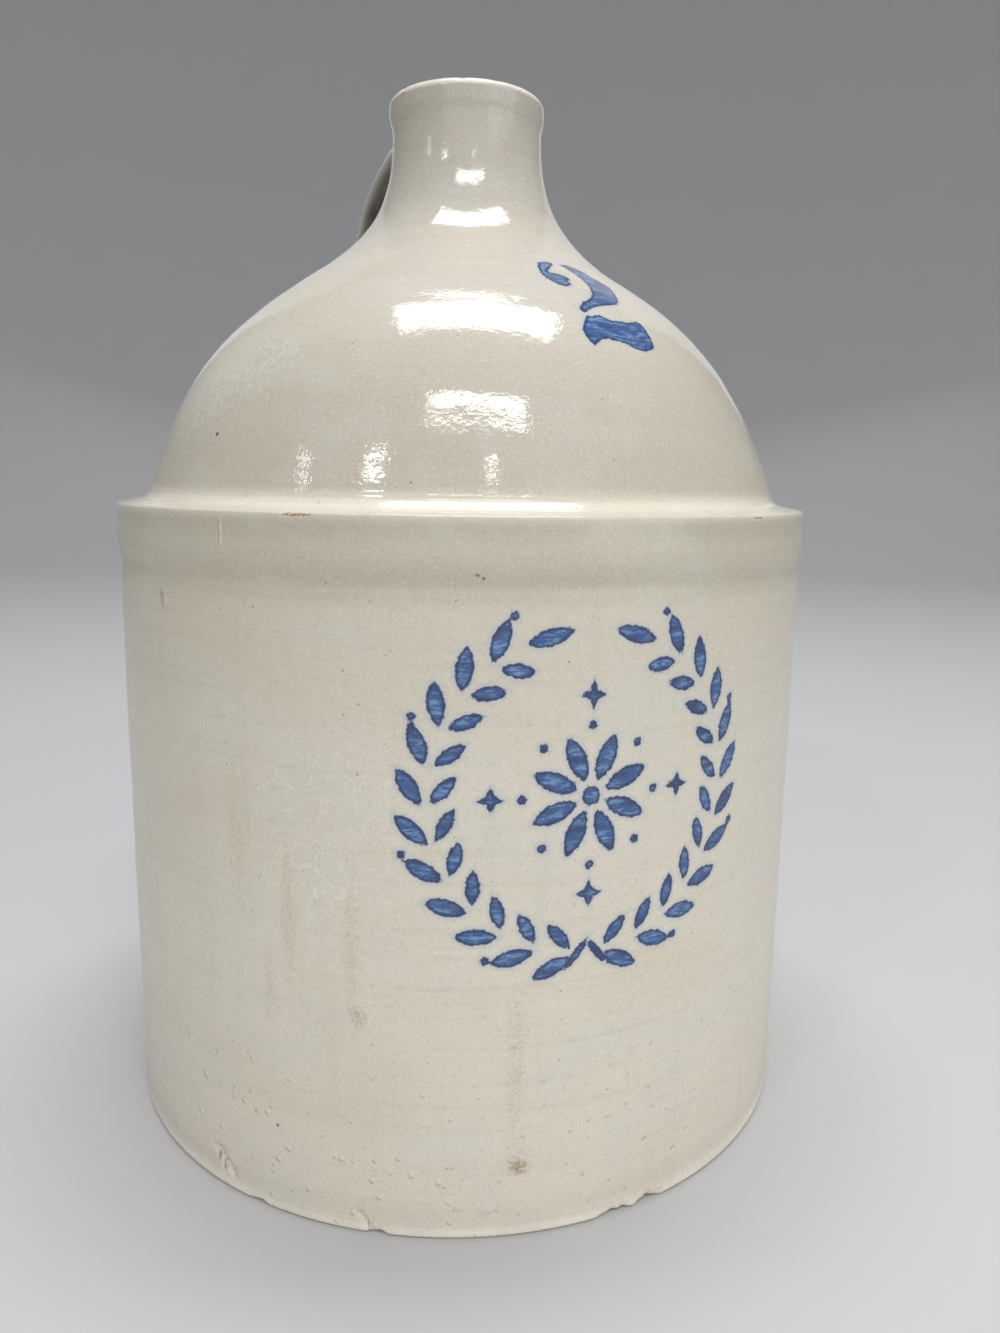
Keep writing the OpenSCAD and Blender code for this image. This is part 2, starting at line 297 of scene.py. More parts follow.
surface = {
    "seed": 23,
    "limit": (bodyRad - 0.02, lipTop - 0.01),
    # number of waves, most turns round the jug, wavelengths up the jug, and size
    "outOfRound": (14, 3, (140, 420), 0.16),
    "hands": (26, 5, (38, 120), 0.085),
    "throwing": (16, 1, (13, 26), 0.035),
    "lines": (18, 1, (4.6, 8.0), 0.010),
    # bearing, height, half width in degrees, half height and size of broad swellings and dents
    "swells": [(-114, 321.5, 45, 4.5, 0.35), (66, 321.5, 45, 4.5, -0.25), (66, 269, 36, 8, -1.3),
               (-114, 232, 60, 24, 0.7), (66, 232, 60, 24, -0.45), (150, 60, 50, 40, -0.3),
               (-10, 300, 60, 12, 0.2)],
    # finger ridges on the ledge and the dome's foot: size, distance, reach beyond the cove, and fading
    "ridges": (0.07, 2.2, 3.5, 3),
    # bearing, half width in degrees, depth and height of chips round the foot, and the rim they stay on
    "footChips": [(-35.4, 1.2, 1.0, 1.7), (-54.2, 1.2, 0.8, 1.6), (-1.0, 2.4, 1.3, 2.0),
                  (4.6, 1.8, 1.6, 2.4), (96, 2.2, 1.2, 2.0), (171, 1.6, 1.5, 2.3), (-128, 2.6, 1.1, 1.8)],
    "footRim": (8.0, 12.0),
    "footLift": 0.5,
    "footTeeth": (0.8, 0.3, 173),    # least depth, unevenness and teeth of those chips
    # radius and height of a corner, how far its chips go inwards for each unit down, and for each chip
    # bearing, half width in degrees, depth and reach
    "cornerChips": [
        (bodyRad - 0.8, ledgeTop - 2.2, 1.0,
         [(-45.5, 2.2, 0.30, 0.7), (21.3, 1.8, 0.26, 0.7), (133, 1.3, 0.4, 0.8)]),
        (p["lipRad"] - 1.2, lipTop - 0.8, 0.7,
         [(-28.2, 2.6, 0.28, 0.9), (-77.4, 2.0, 0.38, 1.1), (64, 3.0, 0.35, 1.1), (-3, 4.0, 0.12, 0.9)])],
    # how much of the relief is left at the lip's two ends and at the foot, the height below which it
    # fades, and how many rows at the bore's end have none
    "lipHold": (0.8, 0.3), "footHold": 0.3, "footFade": 6, "plainRows": 4,
    # start, end, half width and depth of cuts in the wall above the foot
    "gouges": [((-61.9, 11.4), (-59.2, 5.6), 1.1, 1.3), ((-63.4, 12.6), (-60.9, 6.0), 0.7, 0.5),
               ((-37.8, 6.2), (-35.9, 1.2), 0.8, 0.6)],
}


def waves(draw, grid, count, mostTurns, lengths, size):
    bearing, height = grid
    total = np.zeros(np.broadcast(bearing, height).shape)
    for i in range(count):
        turns = draw.integers(0, mostTurns + 1)
        pitch = 2 * math.pi / draw.uniform(*lengths)
        total = total + draw.uniform(0.5, 1) * np.cos(turns * bearing + pitch * height
                                                      + draw.uniform(0, 2 * math.pi))
    return size * total * math.sqrt(2 / count)


def apart(bearing, other):
    # angle to a bearing in radians from another in degrees, the short way round
    return (bearing - math.radians(other) + math.pi) % (2 * math.pi) - math.pi


def bitten(bearing, at, width):
    return np.exp(-(np.degrees(apart(bearing, at)) / width) ** 4)


def makeSkin():
    s = surface
    draw = np.random.default_rng(s["seed"])
    bearing = bearings[None, :]
    rad, height, run = outline[:, :1], outline[:, 1:], outlineRun[:, None]
    grid = (bearing, run)
    relief = (waves(draw, grid, *s["outOfRound"]) + waves(draw, grid, *s["hands"])) * rad / bodyRad
    relief = relief + waves(draw, grid, *s["throwing"]) + waves(draw, grid, *s["lines"])
    for at, level, width, tall, size in s["swells"]:
        near = (np.degrees(apart(bearing, at)) / width) ** 2 + ((height - level) / tall) ** 2
        relief = relief + size * np.exp(-near)
    ridgeSize, pitch, beyond, fading = s["ridges"]
    first, last = run[runRows["ledge"][0]], run[runRows["cove"][1]] + beyond
    window = np.clip(np.minimum(run - first, last - run) / fading, 0, 1) * (run > first)
    wander = 0.5 * np.sin(3 * bearing) + 0.7 * np.sin(bearing + 1)
    ridge = np.cos(2 * math.pi * (run - first) / pitch + wander)
    relief = relief + ridgeSize * window * ridge * (0.7 + 0.3 * np.sin(5 * bearing + run))
    for start, end, width, depth in s["gouges"]:
        startX, endX = math.radians(start[0]) * bodyRad, math.radians(end[0]) * bodyRad
        x, y = apart(bearing, 0) * bodyRad - startX, height - start[1]
        lengthX, lengthY = endX - startX, end[1] - start[1]
        along = np.clip((x * lengthX + y * lengthY) / (lengthX ** 2 + lengthY ** 2), 0, 1)
        near = np.hypot(x - along * lengthX, y - along * lengthY) / width
        relief = relief - depth * np.exp(-near ** 4)

    # the relief fades up the lip, is gone at the bore's end, and fades down to the foot's flat
    hold = np.ones(len(outline))
    first, last = runRows["lip"]
    hold[first:last + 1] = np.linspace(*s["lipHold"], last - first + 1)
    hold[last:] = s["lipHold"][1]
    hold[-s["plainRows"]:] = 0
    last = runRows["rim"][1]
    rise = np.clip(outline[:last + 1, 1] / s["footFade"], 0, 1)
    hold[:last + 1] = rise * (1 - s["footHold"]) + s["footHold"]
    relief = relief * hold[:, None]
    newRad = rad + relief * outlineOut[:, :1]
    newHeight = height + relief * outlineOut[:, 1:]

    rimWide, rimTall = s["footRim"]
    least, uneven, teeth = s["footTeeth"]
    onRim = (rad > bodyRad - rimWide) * (height < rimTall)
    for at, width, depth, tall in s["footChips"]:
        bite = bitten(bearing, at, width) * np.exp(-(height / tall) ** 2) * onRim
        newRad = newRad - depth * bite * (least + uneven * np.sin(bearing * teeth))
        newHeight = newHeight + s["footLift"] * depth * bite
    for cornerRad, cornerHeight, inward, chips in s["cornerChips"]:
        for at, width, depth, away in chips:
            near = np.hypot(rad - cornerRad, height - cornerHeight) / away
            bite = bitten(bearing, at, width) * np.exp(-near ** 2)
            newRad, newHeight = newRad - depth * bite * inward, newHeight - depth * bite
    newRad = np.minimum(newRad, s["limit"][0])
    newHeight = np.clip(newHeight, 0, s["limit"][1])
    points = np.stack([newRad * np.sin(bearing), -newRad * np.cos(bearing),
                       newHeight + 0 * bearing], axis=2)
    wide = np.concatenate([points[:, -2:], points, points[:, :2]], axis=1)
    turn = np.concatenate([bearings[-2:] - 2 * math.pi, bearings, bearings[:2] + 2 * math.pi])
    aside = np.gradient(wide, turn, axis=1)[:, 2:-2]
    upward = np.gradient(points, outlineRun, axis=0)
    normals = np.cross(aside, upward)
    normals /= np.linalg.norm(normals, axis=2)[:, :, None]
    return points, normals


skinPoints, skinNormals = makeSkin()
print("surface shaped")

# Blue marks under the glaze: how far each point lies outside the nearest stroke, in millimetres

marks = {
    "far": 40.0,
    "sideways": 1.6,    # how much farther a mark may reach sideways than up
    # leaves by the side of the ring that they lie on, inside or outside, with their half length and width
    "wreath": {"bearing": -7.0, "height": 125.0, "reach": 62, "rad": 43.0, "pairs": 11, "firstAt": 12.0,
               "step": 13.7, "leaves": {-1: (4.9, 1.9), 1: (5.9, 2.3)}, "leafOut": 4.4, "leafTurn": 38.0,
               "tipLeaf": (6.4, 2.2), "berry": 1.15, "berryOut": 8.3,
               "tie": (5.4, 1.1), "tieAt": 3.6, "tieTurn": 52.0},
    "rosette": {"petals": 8, "petal": (6.6, 2.6), "petalRad": 10.6, "eye": 2.5, "dotRad": 18.6, "dot": 1.25,
                "sprigRad": 26.5, "sprig": (3.6, 1.15)},
    # the capacity figure, laid out from a point on the dome
    "figure": {"bearing": 9.0, "height": 254.0, "reach": 34, "strokes": [
        [(-10.4, 19.8), (-8.4, 21.0), (-6.1, 21.7), (-4.9, 20.3), (-7.6, 17.7), (-10.3, 14.6), (-8.6, 14.1),
         (-6.5, 13.5), (-5.1, 12.6), (-4.6, 11.0), (-6.3, 9.8), (-5.6, 7.9), (-8.5, 6.7), (-10.3, 7.2),
         (-11.6, 8.6), (-12.6, 10.5), (-13.0, 13.0), (-12.0, 16.3)],
        [(-2.5, 21.0), (-0.1, 21.3), (2.4, 20.3), (4.8, 18.4), (6.3, 15.2), (8.7, 13.0), (10.7, 10.9),
         (10.0, 7.4), (8.5, 2.6), (5.9, 0.2), (2.2, -0.6), (-0.8, -1.5), (-3.3, -2.3), (-6.5, -4.0),
         (-9.5, -6.2), (-10.2, -4.5), (-8.7, -2.5), (-6.3, -0.5), (-3.2, 1.4), (-1.2, 3.8), (0.3, 7.0),
         (0.9, 10.1), (0.7, 13.4), (-0.4, 16.0), (-1.5, 19.2)],
        [(-9.3, -7.2), (-7.0, -7.2), (-4.9, -6.4), (-3.2, -7.3), (-1.2, -8.4), (2.5, -8.0), (4.8, -8.4),
         (8.3, -7.2), (10.4, -7.6), (11.0, -10.3), (10.9, -13.3), (10.3, -17.0), (8.3, -18.5), (5.1, -19.5),
         (1.8, -19.0), (-0.6, -17.7), (-3.2, -16.8), (-5.3, -16.6), (-7.2, -16.1), (-10.2, -17.3),
         (-12.5, -19.4), (-13.4, -17.8), (-13.8, -15.8), (-13.7, -13.7), (-12.2, -11.0)]]},
}


def leafDistance(x, y, middle, angle, half):
    # a leaf is where two equal circles overlap
    turn = math.radians(angle)
    dx, dy = x - middle[0], y - middle[1]
    along = dx * math.cos(turn) + dy * math.sin(turn)
    across = dy * math.cos(turn) - dx * math.sin(turn)
    rad = (half[0] ** 2 + half[1] ** 2) / (2 * half[1])
    aside = rad - half[1]
    return np.maximum(np.hypot(along, across - aside), np.hypot(along, across + aside)) - rad


def strokeDistance(x, y, corners):
    nearest = np.full(x.shape, 1e9)
    inside = np.zeros(x.shape, bool)
    for (ax, ay), (bx, by) in zip(corners, corners[1:] + corners[:1]):
        t = np.clip(((x - ax) * (bx - ax) + (y - ay) * (by - ay)) / ((bx - ax) ** 2 + (by - ay) ** 2), 0, 1)
        nearest = np.minimum(nearest, np.hypot(x - ax - t * (bx - ax), y - ay - t * (by - ay)))
        if ay != by:
            inside ^= ((ay > y) != (by > y)) & (x < (bx - ax) * (y - ay) / (by - ay) + ax)
    return np.where(inside, -nearest, nearest)


def figureDistance(x, y):
    return np.min([strokeDistance(x, y, stroke) for stroke in marks["figure"]["strokes"]], axis=0)


def wreathDistance(x, y):
    w, r = marks["wreath"], marks["rosette"]
    found = []

    def leaf(rad, at, angle, half):
        found.append(leafDistance(x, y, rad * heading(at), angle, half))

    def dot(rad, at, size):
        middle = rad * heading(at)
        found.append(np.hypot(x - middle[0], y - middle[1]) - size)

    for side in (-1, 1):
        for i in range(w["pairs"]):
            at = -90 + side * (w["firstAt"] + i * w["step"])
            for out in (-1, 1):
                turn = side * (90 - out * w["leafTurn"])
                leaf(w["rad"] + out * w["leafOut"], at, at + turn, w["leaves"][out])
            if i % 3 == 1:
                dot(w["rad"] + w["berryOut"], at + side * w["step"] / 2, w["berry"])
        tip = -90 + side * (w["firstAt"] + (w["pairs"] + 0.1) * w["step"])
        leaf(w["rad"], tip, tip + 90, w["tipLeaf"])
        leaf(w["rad"], -90 + side * w["tieAt"], -side * w["tieTurn"], w["tie"])
    share = 360 / r["petals"]
    for i in range(r["petals"]):
        leaf(r["petalRad"], share * (i + 0.5), share * (i + 0.5), r["petal"])
        dot(r["dotRad"], share * i, r["dot"])
        if i % 2 == 0:
            for turn in (0, 90):
                leaf(r["sprigRad"], share * i, share * i + turn, r["sprig"])
    dot(0, 0, r["eye"])
    return np.min(found, axis=0)


def inkDistance():
    found = np.full(skinPoints.shape[:2], marks["far"])
    upTo = runRows["lip"][0]
    for spot, measure in ((marks["wreath"], wreathDistance), (marks["figure"], figureDistance)):
        level = np.interp(spot["height"], outline[:upTo, 1], outlineRun[:upTo])
        rows = np.where(np.abs(outlineRun - level) < spot["reach"])[0]
        turn = apart(bearings, spot["bearing"])
        columns = np.where(np.abs(turn) * bodyRad < spot["reach"] * marks["sideways"])[0]
        x = turn[columns][None, :] * outline[rows, :1]
        y = (outlineRun[rows] - level)[:, None] + 0 * x
        patch = np.ix_(rows, columns)
        found[patch] = np.minimum(found[patch], measure(x, y))
    return found


skinInk = inkDistance()
print("marks laid out")

# Pieces turned on the wheel


def meshFrom(name, points, faces, uvs, marked, sharp, loopNormals=None):
    # marked holds a value for each point: the distance to the ink, or the dirt and painted shade on the
    # strap
    mesh = bpy.data.meshes.new(name)
    mesh.from_pydata((np.array(points) * millimetre).tolist(), [], faces)
    for label, values in marked.items():
        mesh.attributes.new(label, "FLOAT", "POINT").data.foreach_set("value", np.array(values, np.float32))
    mesh.uv_layers.new(name="OFBake").data.foreach_set("uv", np.array(uvs, np.float32).ravel())
    mesh.polygons.foreach_set("use_smooth", np.ones(len(mesh.polygons), bool))
    if len(sharp):
        # an edge is sharp where both its points lie on one sharp ring
        ring = np.full(len(mesh.vertices), -1)
        for i, members in enumerate(sharp):
            ring[members] = i
        ends = np.zeros(len(mesh.edges) * 2, np.int32)
        mesh.edges.foreach_get("vertices", ends)
        ends = ring[ends.reshape(-1, 2)]
        mesh.attributes.new("sharp_edge", "BOOLEAN", "EDGE").data.foreach_set(
            "value", (ends[:, 0] == ends[:, 1]) & (ends[:, 0] >= 0))
    mesh.update()
    if loopNormals is not None:
        mesh.normals_split_custom_set(loopNormals.tolist())
    piece = bpy.data.objects.new(name, mesh)
    bpy.context.scene.collection.objects.link(piece)
    return piece


def turned(name, fromRow, toRow, hidden, poles=False):
    # a closed ring: rows of the skin up the outside, and hidden corners back to the start
    columns = len(bearings)
    hiddenRows = [np.column_stack([rad * np.sin(bearings), -rad * np.cos(bearings),
                                   np.full(columns, height)]) for rad, height in hidden]
    rows = np.concatenate([skinPoints[fromRow:toRow + 1], np.array(hiddenRows)])
    shown = toRow - fromRow + 1
    ink = np.concatenate([skinInk[fromRow:toRow + 1], np.full((len(hidden), columns), marks["far"])])
    count = len(rows)
    flat = np.vstack([outline[fromRow:toRow + 1], np.array(hidden)])
    lengths = np.hypot(*np.diff(np.vstack([flat, flat[:1]]), axis=0).T)
    lengths[shown - 1:] *= potter["hiddenShare"]
    run = np.concatenate([[0], np.cumsum(lengths)])
    run /= run[-1]
    turn = np.append(bearings - bearings[0], 2 * math.pi) / (2 * math.pi)
    first = np.arange(count if not poles else count - 1)
    i, j = (part.ravel() for part in np.meshgrid(first, np.arange(columns), indexing="ij"))
    nextI, nextJ = (i + 1) % count, (j + 1) % columns
    low, high = i * columns, nextI * columns
    faces = np.column_stack([low + j, low + nextJ, high + nextJ, high + j])
    uvs = np.stack([np.column_stack([turn[column], run[row]]) for column, row in (
        (j, i), (j + 1, i), (j + 1, i + 1), (j, i + 1))], axis=1)
    normals = np.zeros((len(i), 4, 3))
    outside = i < shown - 1
    skin = skinNormals[fromRow:toRow + 1]
    for corner, (row, column) in enumerate(((i, j), (i, nextJ), (i + 1, nextJ), (i + 1, j))):
        normals[outside, corner] = skin[row[outside], column[outside]]
    points = rows.reshape(-1, 3)
    faces, uvs, normals, ink = faces.tolist(), uvs.reshape(-1, 2), normals.reshape(-1, 3), ink.ravel()
    if poles:
        # the last hidden row closes at a point, and the first row at another
        points = np.vstack([points, [[0, 0, hidden[-1][1]], [0, 0, 0]]])
        ink = np.append(ink, [marks["far"]] * 2)
        capUvs = []
        for row, centre, level in ((count - 1, len(points) - 2, run[-2]), (0, len(points) - 1, run[0])):
            for k in range(columns):
                here, there = row * columns + k, row * columns + (k + 1) % columns
                faces.append([here, there, centre] if row else [there, here, centre])
                pair = [(turn[k], level), (turn[k + 1], level)]
                capUvs += (pair if row else pair[::-1]) + [((turn[k] + turn[k + 1]) / 2, level)]
        uvs = np.vstack([uvs, capUvs])
        normals = np.vstack([normals, np.zeros((columns * 6, 3))])
    corners = [shown - 1 + k for k in range(len(hidden) + 1)] + [0]
    sharp = [np.arange(columns) + row * columns for row in corners]
    return meshFrom(name, points, faces, uvs, {"ink": ink}, sharp, normals)


wallIn = bodyRad - p["wallInset"] - p["wallThick"]
plugRad = wallIn - p["slipThick"]
skirtIn = insideDome[0, 0]
seatHeight = ledgeTop - p["seatDepth"]
galleryLow = seatHeight - p["galleryDepth"]
galleryEnd = galleryLow - (wallIn - skirtIn) - p["galleryBlend"]
corner = p["floorCorner"]
floorBow = bow((wallIn - corner, floorTop + corner), corner, 0, -90, p["floorSteps"])
insideUp = [(wallIn, level) for level in np.linspace(galleryEnd, wallLow, p["wallInsideRows"])]
ringInset, hubRad, ringCount = p["floorRings"]
floorRings = [(rad, floorTop) for rad in np.linspace(plugRad - ringInset, hubRad, ringCount)]
domeInside = spaced(innerWall[innerWall[:, 1] < lapHeight][::-1], p["domeInsideStep"])
collarOut = collarRad + p["slipThick"]
r = runRows
pieces = {}
pieces["footDisc"] = turned("footDisc", *r["rim"], [(plugRad, footTop), (plugRad, floorTop)] + floorRings,
                            poles=True)
pieces["footJoint"] = turned("footJoint", *r["footJoint"], np.vstack([
    [(wallIn, wallLow)], floorBow, [(plugRad, floorTop), (plugRad, footTop)]]))
pieces["wallShell"] = turned("wallShell", r["wallLow"][0], r["ledge"][1], np.vstack([
    [(seatRad, ledgeTop), (seatRad, seatHeight), (skirtIn, seatHeight), (skirtIn, galleryLow)], insideUp]))
pieces["ledgeCove"] = turned("ledgeCove", *r["cove"], [
    (domeFoot[0], domeLow), (skirtIn, domeLow), (skirtIn, seatHeight), (seatRad, seatHeight),
    (seatRad, ledgeTop)])
pieces["shoulderDome"] = turned("shoulderDome", *r["dome"], np.vstack([
    [(collarRad, seam[1]), (collarRad, lapHeight), (insideRad(lapHeight), lapHeight)], domeInside[1:],
    [(skirtIn, domeLow), (domeFoot[0], domeLow)]]))
pieces["collarJoint"] = turned("collarJoint", *r["collar"], [
    (collarOut, cut), (collarOut, innerLap), (insideRad(innerLap), innerLap),
    (insideRad(lapHeight), lapHeight), (collarRad, lapHeight), (collarRad, seam[1])])
pieces["neckAndLip"] = turned("neckAndLip", r["neck"][0], r["bore"][1], [
    (collarOut, innerLap), (collarOut, cut)])
for name, node in (("footDisc", "base_disc"), ("footJoint", "base_slip"), ("wallShell", "body_wall"),
                   ("ledgeCove", "shoulder_slip"), ("shoulderDome", "shoulder_dome"),
                   ("collarJoint", "neck_slip"), ("neckAndLip", "neck")):
    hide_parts(node)
print("wheel pieces made:", len(pieces))

# Strap handle, and the slip smeared round its two ends

strap = {
    "width": 29.0,
    "thick": 11.0,
    "below": 10.5,            # middle of its upper end, under the lip's top
    "footShare": 0.635,       # place of its foot along the dome's curve
    "reach": 30.0,
    "climb": 5.0,             # in degrees, where it leaves the neck
    "drop": 46.0,
    "fall": 64.0,             # in degrees, where it meets the dome
    "flares": (0.16, 0.30, 5),    # how much wider at its top and foot, and how suddenly
    "squareness": 0.72,
    "sides": 80,
    "rings": 130,
    "search": {"top": (-0.14, 0.4, 700), "foot": (1.14, 0.5, 700)},    # for where it lands on the jug
    "lipRows": 16,            # rows of the lip that it can land on
    "slipGap": 0.8,
    "ridge": (0.3, 3, 1.15),      # size and number of the lines that fingers drew along it, and how narrow
    "hands": (18, 3, (16, 60), 0.13),
    "length": 110.0,
    "fadeShare": 0.14,        # of its length at each end, where lines and waves die out
    "fadePower": 1.5,
    "outside": 1.6,           # how suddenly the lines come in past its sides
    "capShares": (0.75, 0.5, 0.25),
    "tipShare": 0.001,
    # dirt on the strap and on the slip round its ends, laid darker as painted shade on the inside face that
    # looks at the neck
    "dirtAndShade": (0.25, 1.2),      # on its sides, and how much more on the inside
    "smearDirtAndShade": (0.0, 0.8),
    "smearUp": {"top": 5.5, "foot": 7.5},    # how far the slip climbs the strap
    "smearOut": {"top": 5.0, "foot": 8.5},   # how far it spreads on the jug
    "smearSteps": 24,
    "smearEase": (0.35, 0.65),    # shares of slow starts and ends, and of even steps
    "smearArm": 0.6,          # how far its curve holds to the strap and to the jug
    "smearLobes": [(3, 0.7, 0.18), (7, 0.0, 0.10)],    # number, start and size
    "smearUneven": (9, 6, (30, 60), 0.22),
    "smearSunk": 0.06,
    "smearBelowLip": 3.2,
    "seed": 31,
}
outerFirst, outerLast = runRows["dome"][0], runRows["lip"][0] + strap["lipRows"]
outerPart = slice(outerFirst, outerLast)
phi = np.linspace(0, 2 * math.pi, strap["sides"], endpoint=False)


def softly(value):
    return np.sign(value) * np.abs(value) ** strap["squareness"]


def unitOf(vectors):
    return vectors / np.maximum(np.linalg.norm(vectors, axis=-1), 1e-9)[..., None]


def strapPoints(t, share=1.0):
    # t runs from the neck (0) to the dome (1), and straight on past both
    s = strap
    climb, fall = heading(s["climb"]), -heading(s["fall"])
    shares = np.linspace(0, 1, len(domeCurve))
    top = np.array([waist[0], lipTop - s["below"]])
    foot = np.array([np.interp(s["footShare"], shares, side) for side in domeCurve.T])
    a, b, c, d = top, top + s["reach"] * climb, foot - s["drop"] * fall, foot
    held = np.clip(t, 0, 1)[..., None]
    middle = cubic(a, b, c, d, held)
    middle = middle + 3 * s["reach"] * climb * np.minimum(t, 0)[..., None]
    middle = middle + 3 * s["drop"] * fall * np.maximum(t - 1, 0)[..., None]
    way = unitOf((1 - held) ** 2 * (b - a) + 2 * (1 - held) * held * (c - b) + held ** 2 * (d - c))
    atTop, atFoot, power = s["flares"]
    flare = 1 + atTop * (1 - held[..., 0]) ** power + atFoot * held[..., 0] ** power
    across = share * s["width"] / 2 * flare * softly(np.cos(phi))
    up = share * s["thick"] / 2 * flare * softly(np.sin(phi))
    return np.stack([across, middle[..., 0] - up * way[..., 1], middle[..., 1] + up * way[..., 0]], axis=-1)


def landing(end, gap, share=1.0):
    # where the strap's lines come within a gap of the jug, as t
    steps = np.linspace(*strap["search"][end])
    found = strapPoints(steps[:, None] + 0 * phi, share)
    level = found[..., 2]
    rad = np.interp(level, outline[outerPart, 1], outline[outerPart, 0])
    lean = np.interp(level, outline[outerPart, 1], outlineOut[outerPart, 0])
    clear = np.hypot(found[..., 0], found[..., 1]) - rad - gap / lean
    last = np.maximum(np.argmax(clear > 0, axis=0), 1)
    column = np.arange(len(phi))
    before, after = clear[last - 1, column], clear[last, column]
    return steps[last - 1] + (steps[last] - steps[last - 1]) * before / (before - after)


def onSkin(points, sunk=0.0):
    # the nearest finished surface at these bearings and heights, and its normals
    bearing = np.arctan2(points[..., 0], -points[..., 1]) - bearings[0]
    column = np.interp(bearing % (2 * math.pi), np.append(bearings - bearings[0], 2 * math.pi),
                       np.arange(len(bearings) + 1))
    row = outerFirst + np.interp(points[..., 2], outline[outerPart, 1], np.arange(outerLast - outerFirst))
    row = np.minimum(row, outerLast - 2)
    i, j = row.astype(int), column.astype(int) % len(bearings)
    k = (j + 1) % len(bearings)
    u, v = (row - row.astype(int))[..., None], (column - column.astype(int))[..., None]

    def between(grid):
        return ((grid[i, j] * (1 - v) + grid[i, k] * v) * (1 - u)
                + (grid[i + 1, j] * (1 - v) + grid[i + 1, k] * v) * u)

    normals = between(skinNormals)
    return between(skinPoints) - sunk * normals, normals


# dirt on the sides, and more of it as painted shade on the inside face
def dirtAndShadeOf(sides, inside):
    return np.clip(sides - inside * np.sin(phi), 0, 1)


def tube(name, rows, first, last, sharpRows, dirtAndShade):
    # rings of points from one end point to the other, as one closed piece; the dirt with painted shade is
    # given round a ring
    sides = rows[0].shape[0]
    margin, tip = 0.05, 0.01  # of the texture's height, for each end and its middle point
    points = np.vstack(rows + [[first, last]])
    faces, uvs = [], []
    level = np.concatenate([[0], np.cumsum([max(np.linalg.norm(b - a, axis=1).mean(), 0.05)
                                            for a, b in zip(rows, rows[1:])])])
    level = margin + (1 - 2 * margin) * level / level[-1]
    for i in range(len(rows) - 1):
        for j in range(sides):
            k = (j + 1) % sides
            faces.append([i * sides + j, i * sides + k, (i + 1) * sides + k, (i + 1) * sides + j])
            uvs += [(j / sides, level[i]), ((j + 1) / sides, level[i]),
                    ((j + 1) / sides, level[i + 1]), (j / sides, level[i + 1])]
    tail = (len(rows) - 1) * sides
    for j in range(sides):
        k = (j + 1) % sides
        faces.append([k, j, len(points) - 2])
        uvs += [((j + 1) / sides, margin), (j / sides, margin), ((j + 0.5) / sides, tip)]
        faces.append([tail + j, tail + k, len(points) - 1])
        uvs += [(j / sides, 1 - margin), ((j + 1) / sides, 1 - margin), ((j + 0.5) / sides, 1 - tip)]
    sharp = [np.arange(sides) + row * sides for row in sharpRows]
    marked = {"ink": np.full(len(points), marks["far"]),
              "dirtAndShade": np.append(np.tile(dirtAndShade, len(rows)), [0, 0])}
    return meshFrom(name, points, faces, uvs, marked, sharp)


def facingOut(piece):
    # a closed piece whose faces look inwards is turned inside out
    sheet = bmesh.new()
    sheet.from_mesh(piece.data)
    if sheet.calc_volume(signed=True) < 0:
        bmesh.ops.reverse_faces(sheet, faces=sheet.faces)
    sheet.to_mesh(piece.data)
    sheet.free()


def makeStrap():
    s = strap
    draw = np.random.default_rng(s["seed"])
    start, end = landing("top", s["slipGap"]), landing("foot", s["slipGap"])
    steps = np.linspace(0, 1, s["rings"])
    t = start[None, :] + (end - start)[None, :] * steps[:, None]
    points = strapPoints(t)
    wide = np.concatenate([points[:, -1:], points, points[:, :1]], axis=1)
    normals = unitOf(np.cross(np.gradient(wide, axis=1)[:, 1:-1], np.gradient(points, axis=0)))
    ring = points[s["rings"] // 2]
    outward = np.sign(np.sum(normals[s["rings"] // 2] * (ring - ring.mean(axis=0)), axis=-1).mean())
    across = points[..., 0] / (s["width"] / 2)
    relief = waves(draw, (phi[None, :], steps[:, None] * s["length"]), *s["hands"])
    outside = np.clip(np.sin(phi) * s["outside"], 0, 1)[None, :]
    size, number, narrow = s["ridge"]
    relief = relief + size * np.cos(across * number * math.pi) * outside * np.exp(-(across * narrow) ** 6)
    fade = np.clip(np.minimum(steps, 1 - steps) / s["fadeShare"], 0, 1)[:, None] ** s["fadePower"]
    points = points + normals * outward * (relief * fade)[..., None]
    caps = {}
    for name in ("top", "foot"):
        caps[name] = [strapPoints(landing(name, s["slipGap"], share), share) for share in s["capShares"]]
        caps[name].append(strapPoints(landing(name, s["slipGap"], s["tipShare"]), s["tipShare"])[0])
    rings = len(s["capShares"])
    rows = caps["top"][:-1][::-1] + list(points) + caps["foot"][:-1]
    piece = tube("strapHandle", rows, caps["top"][-1], caps["foot"][-1],
                 (rings, rings - 1 + len(points)), dirtAndShadeOf(*s["dirtAndShade"]))
    facingOut(piece)
    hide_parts("handle")
    return piece, points, caps


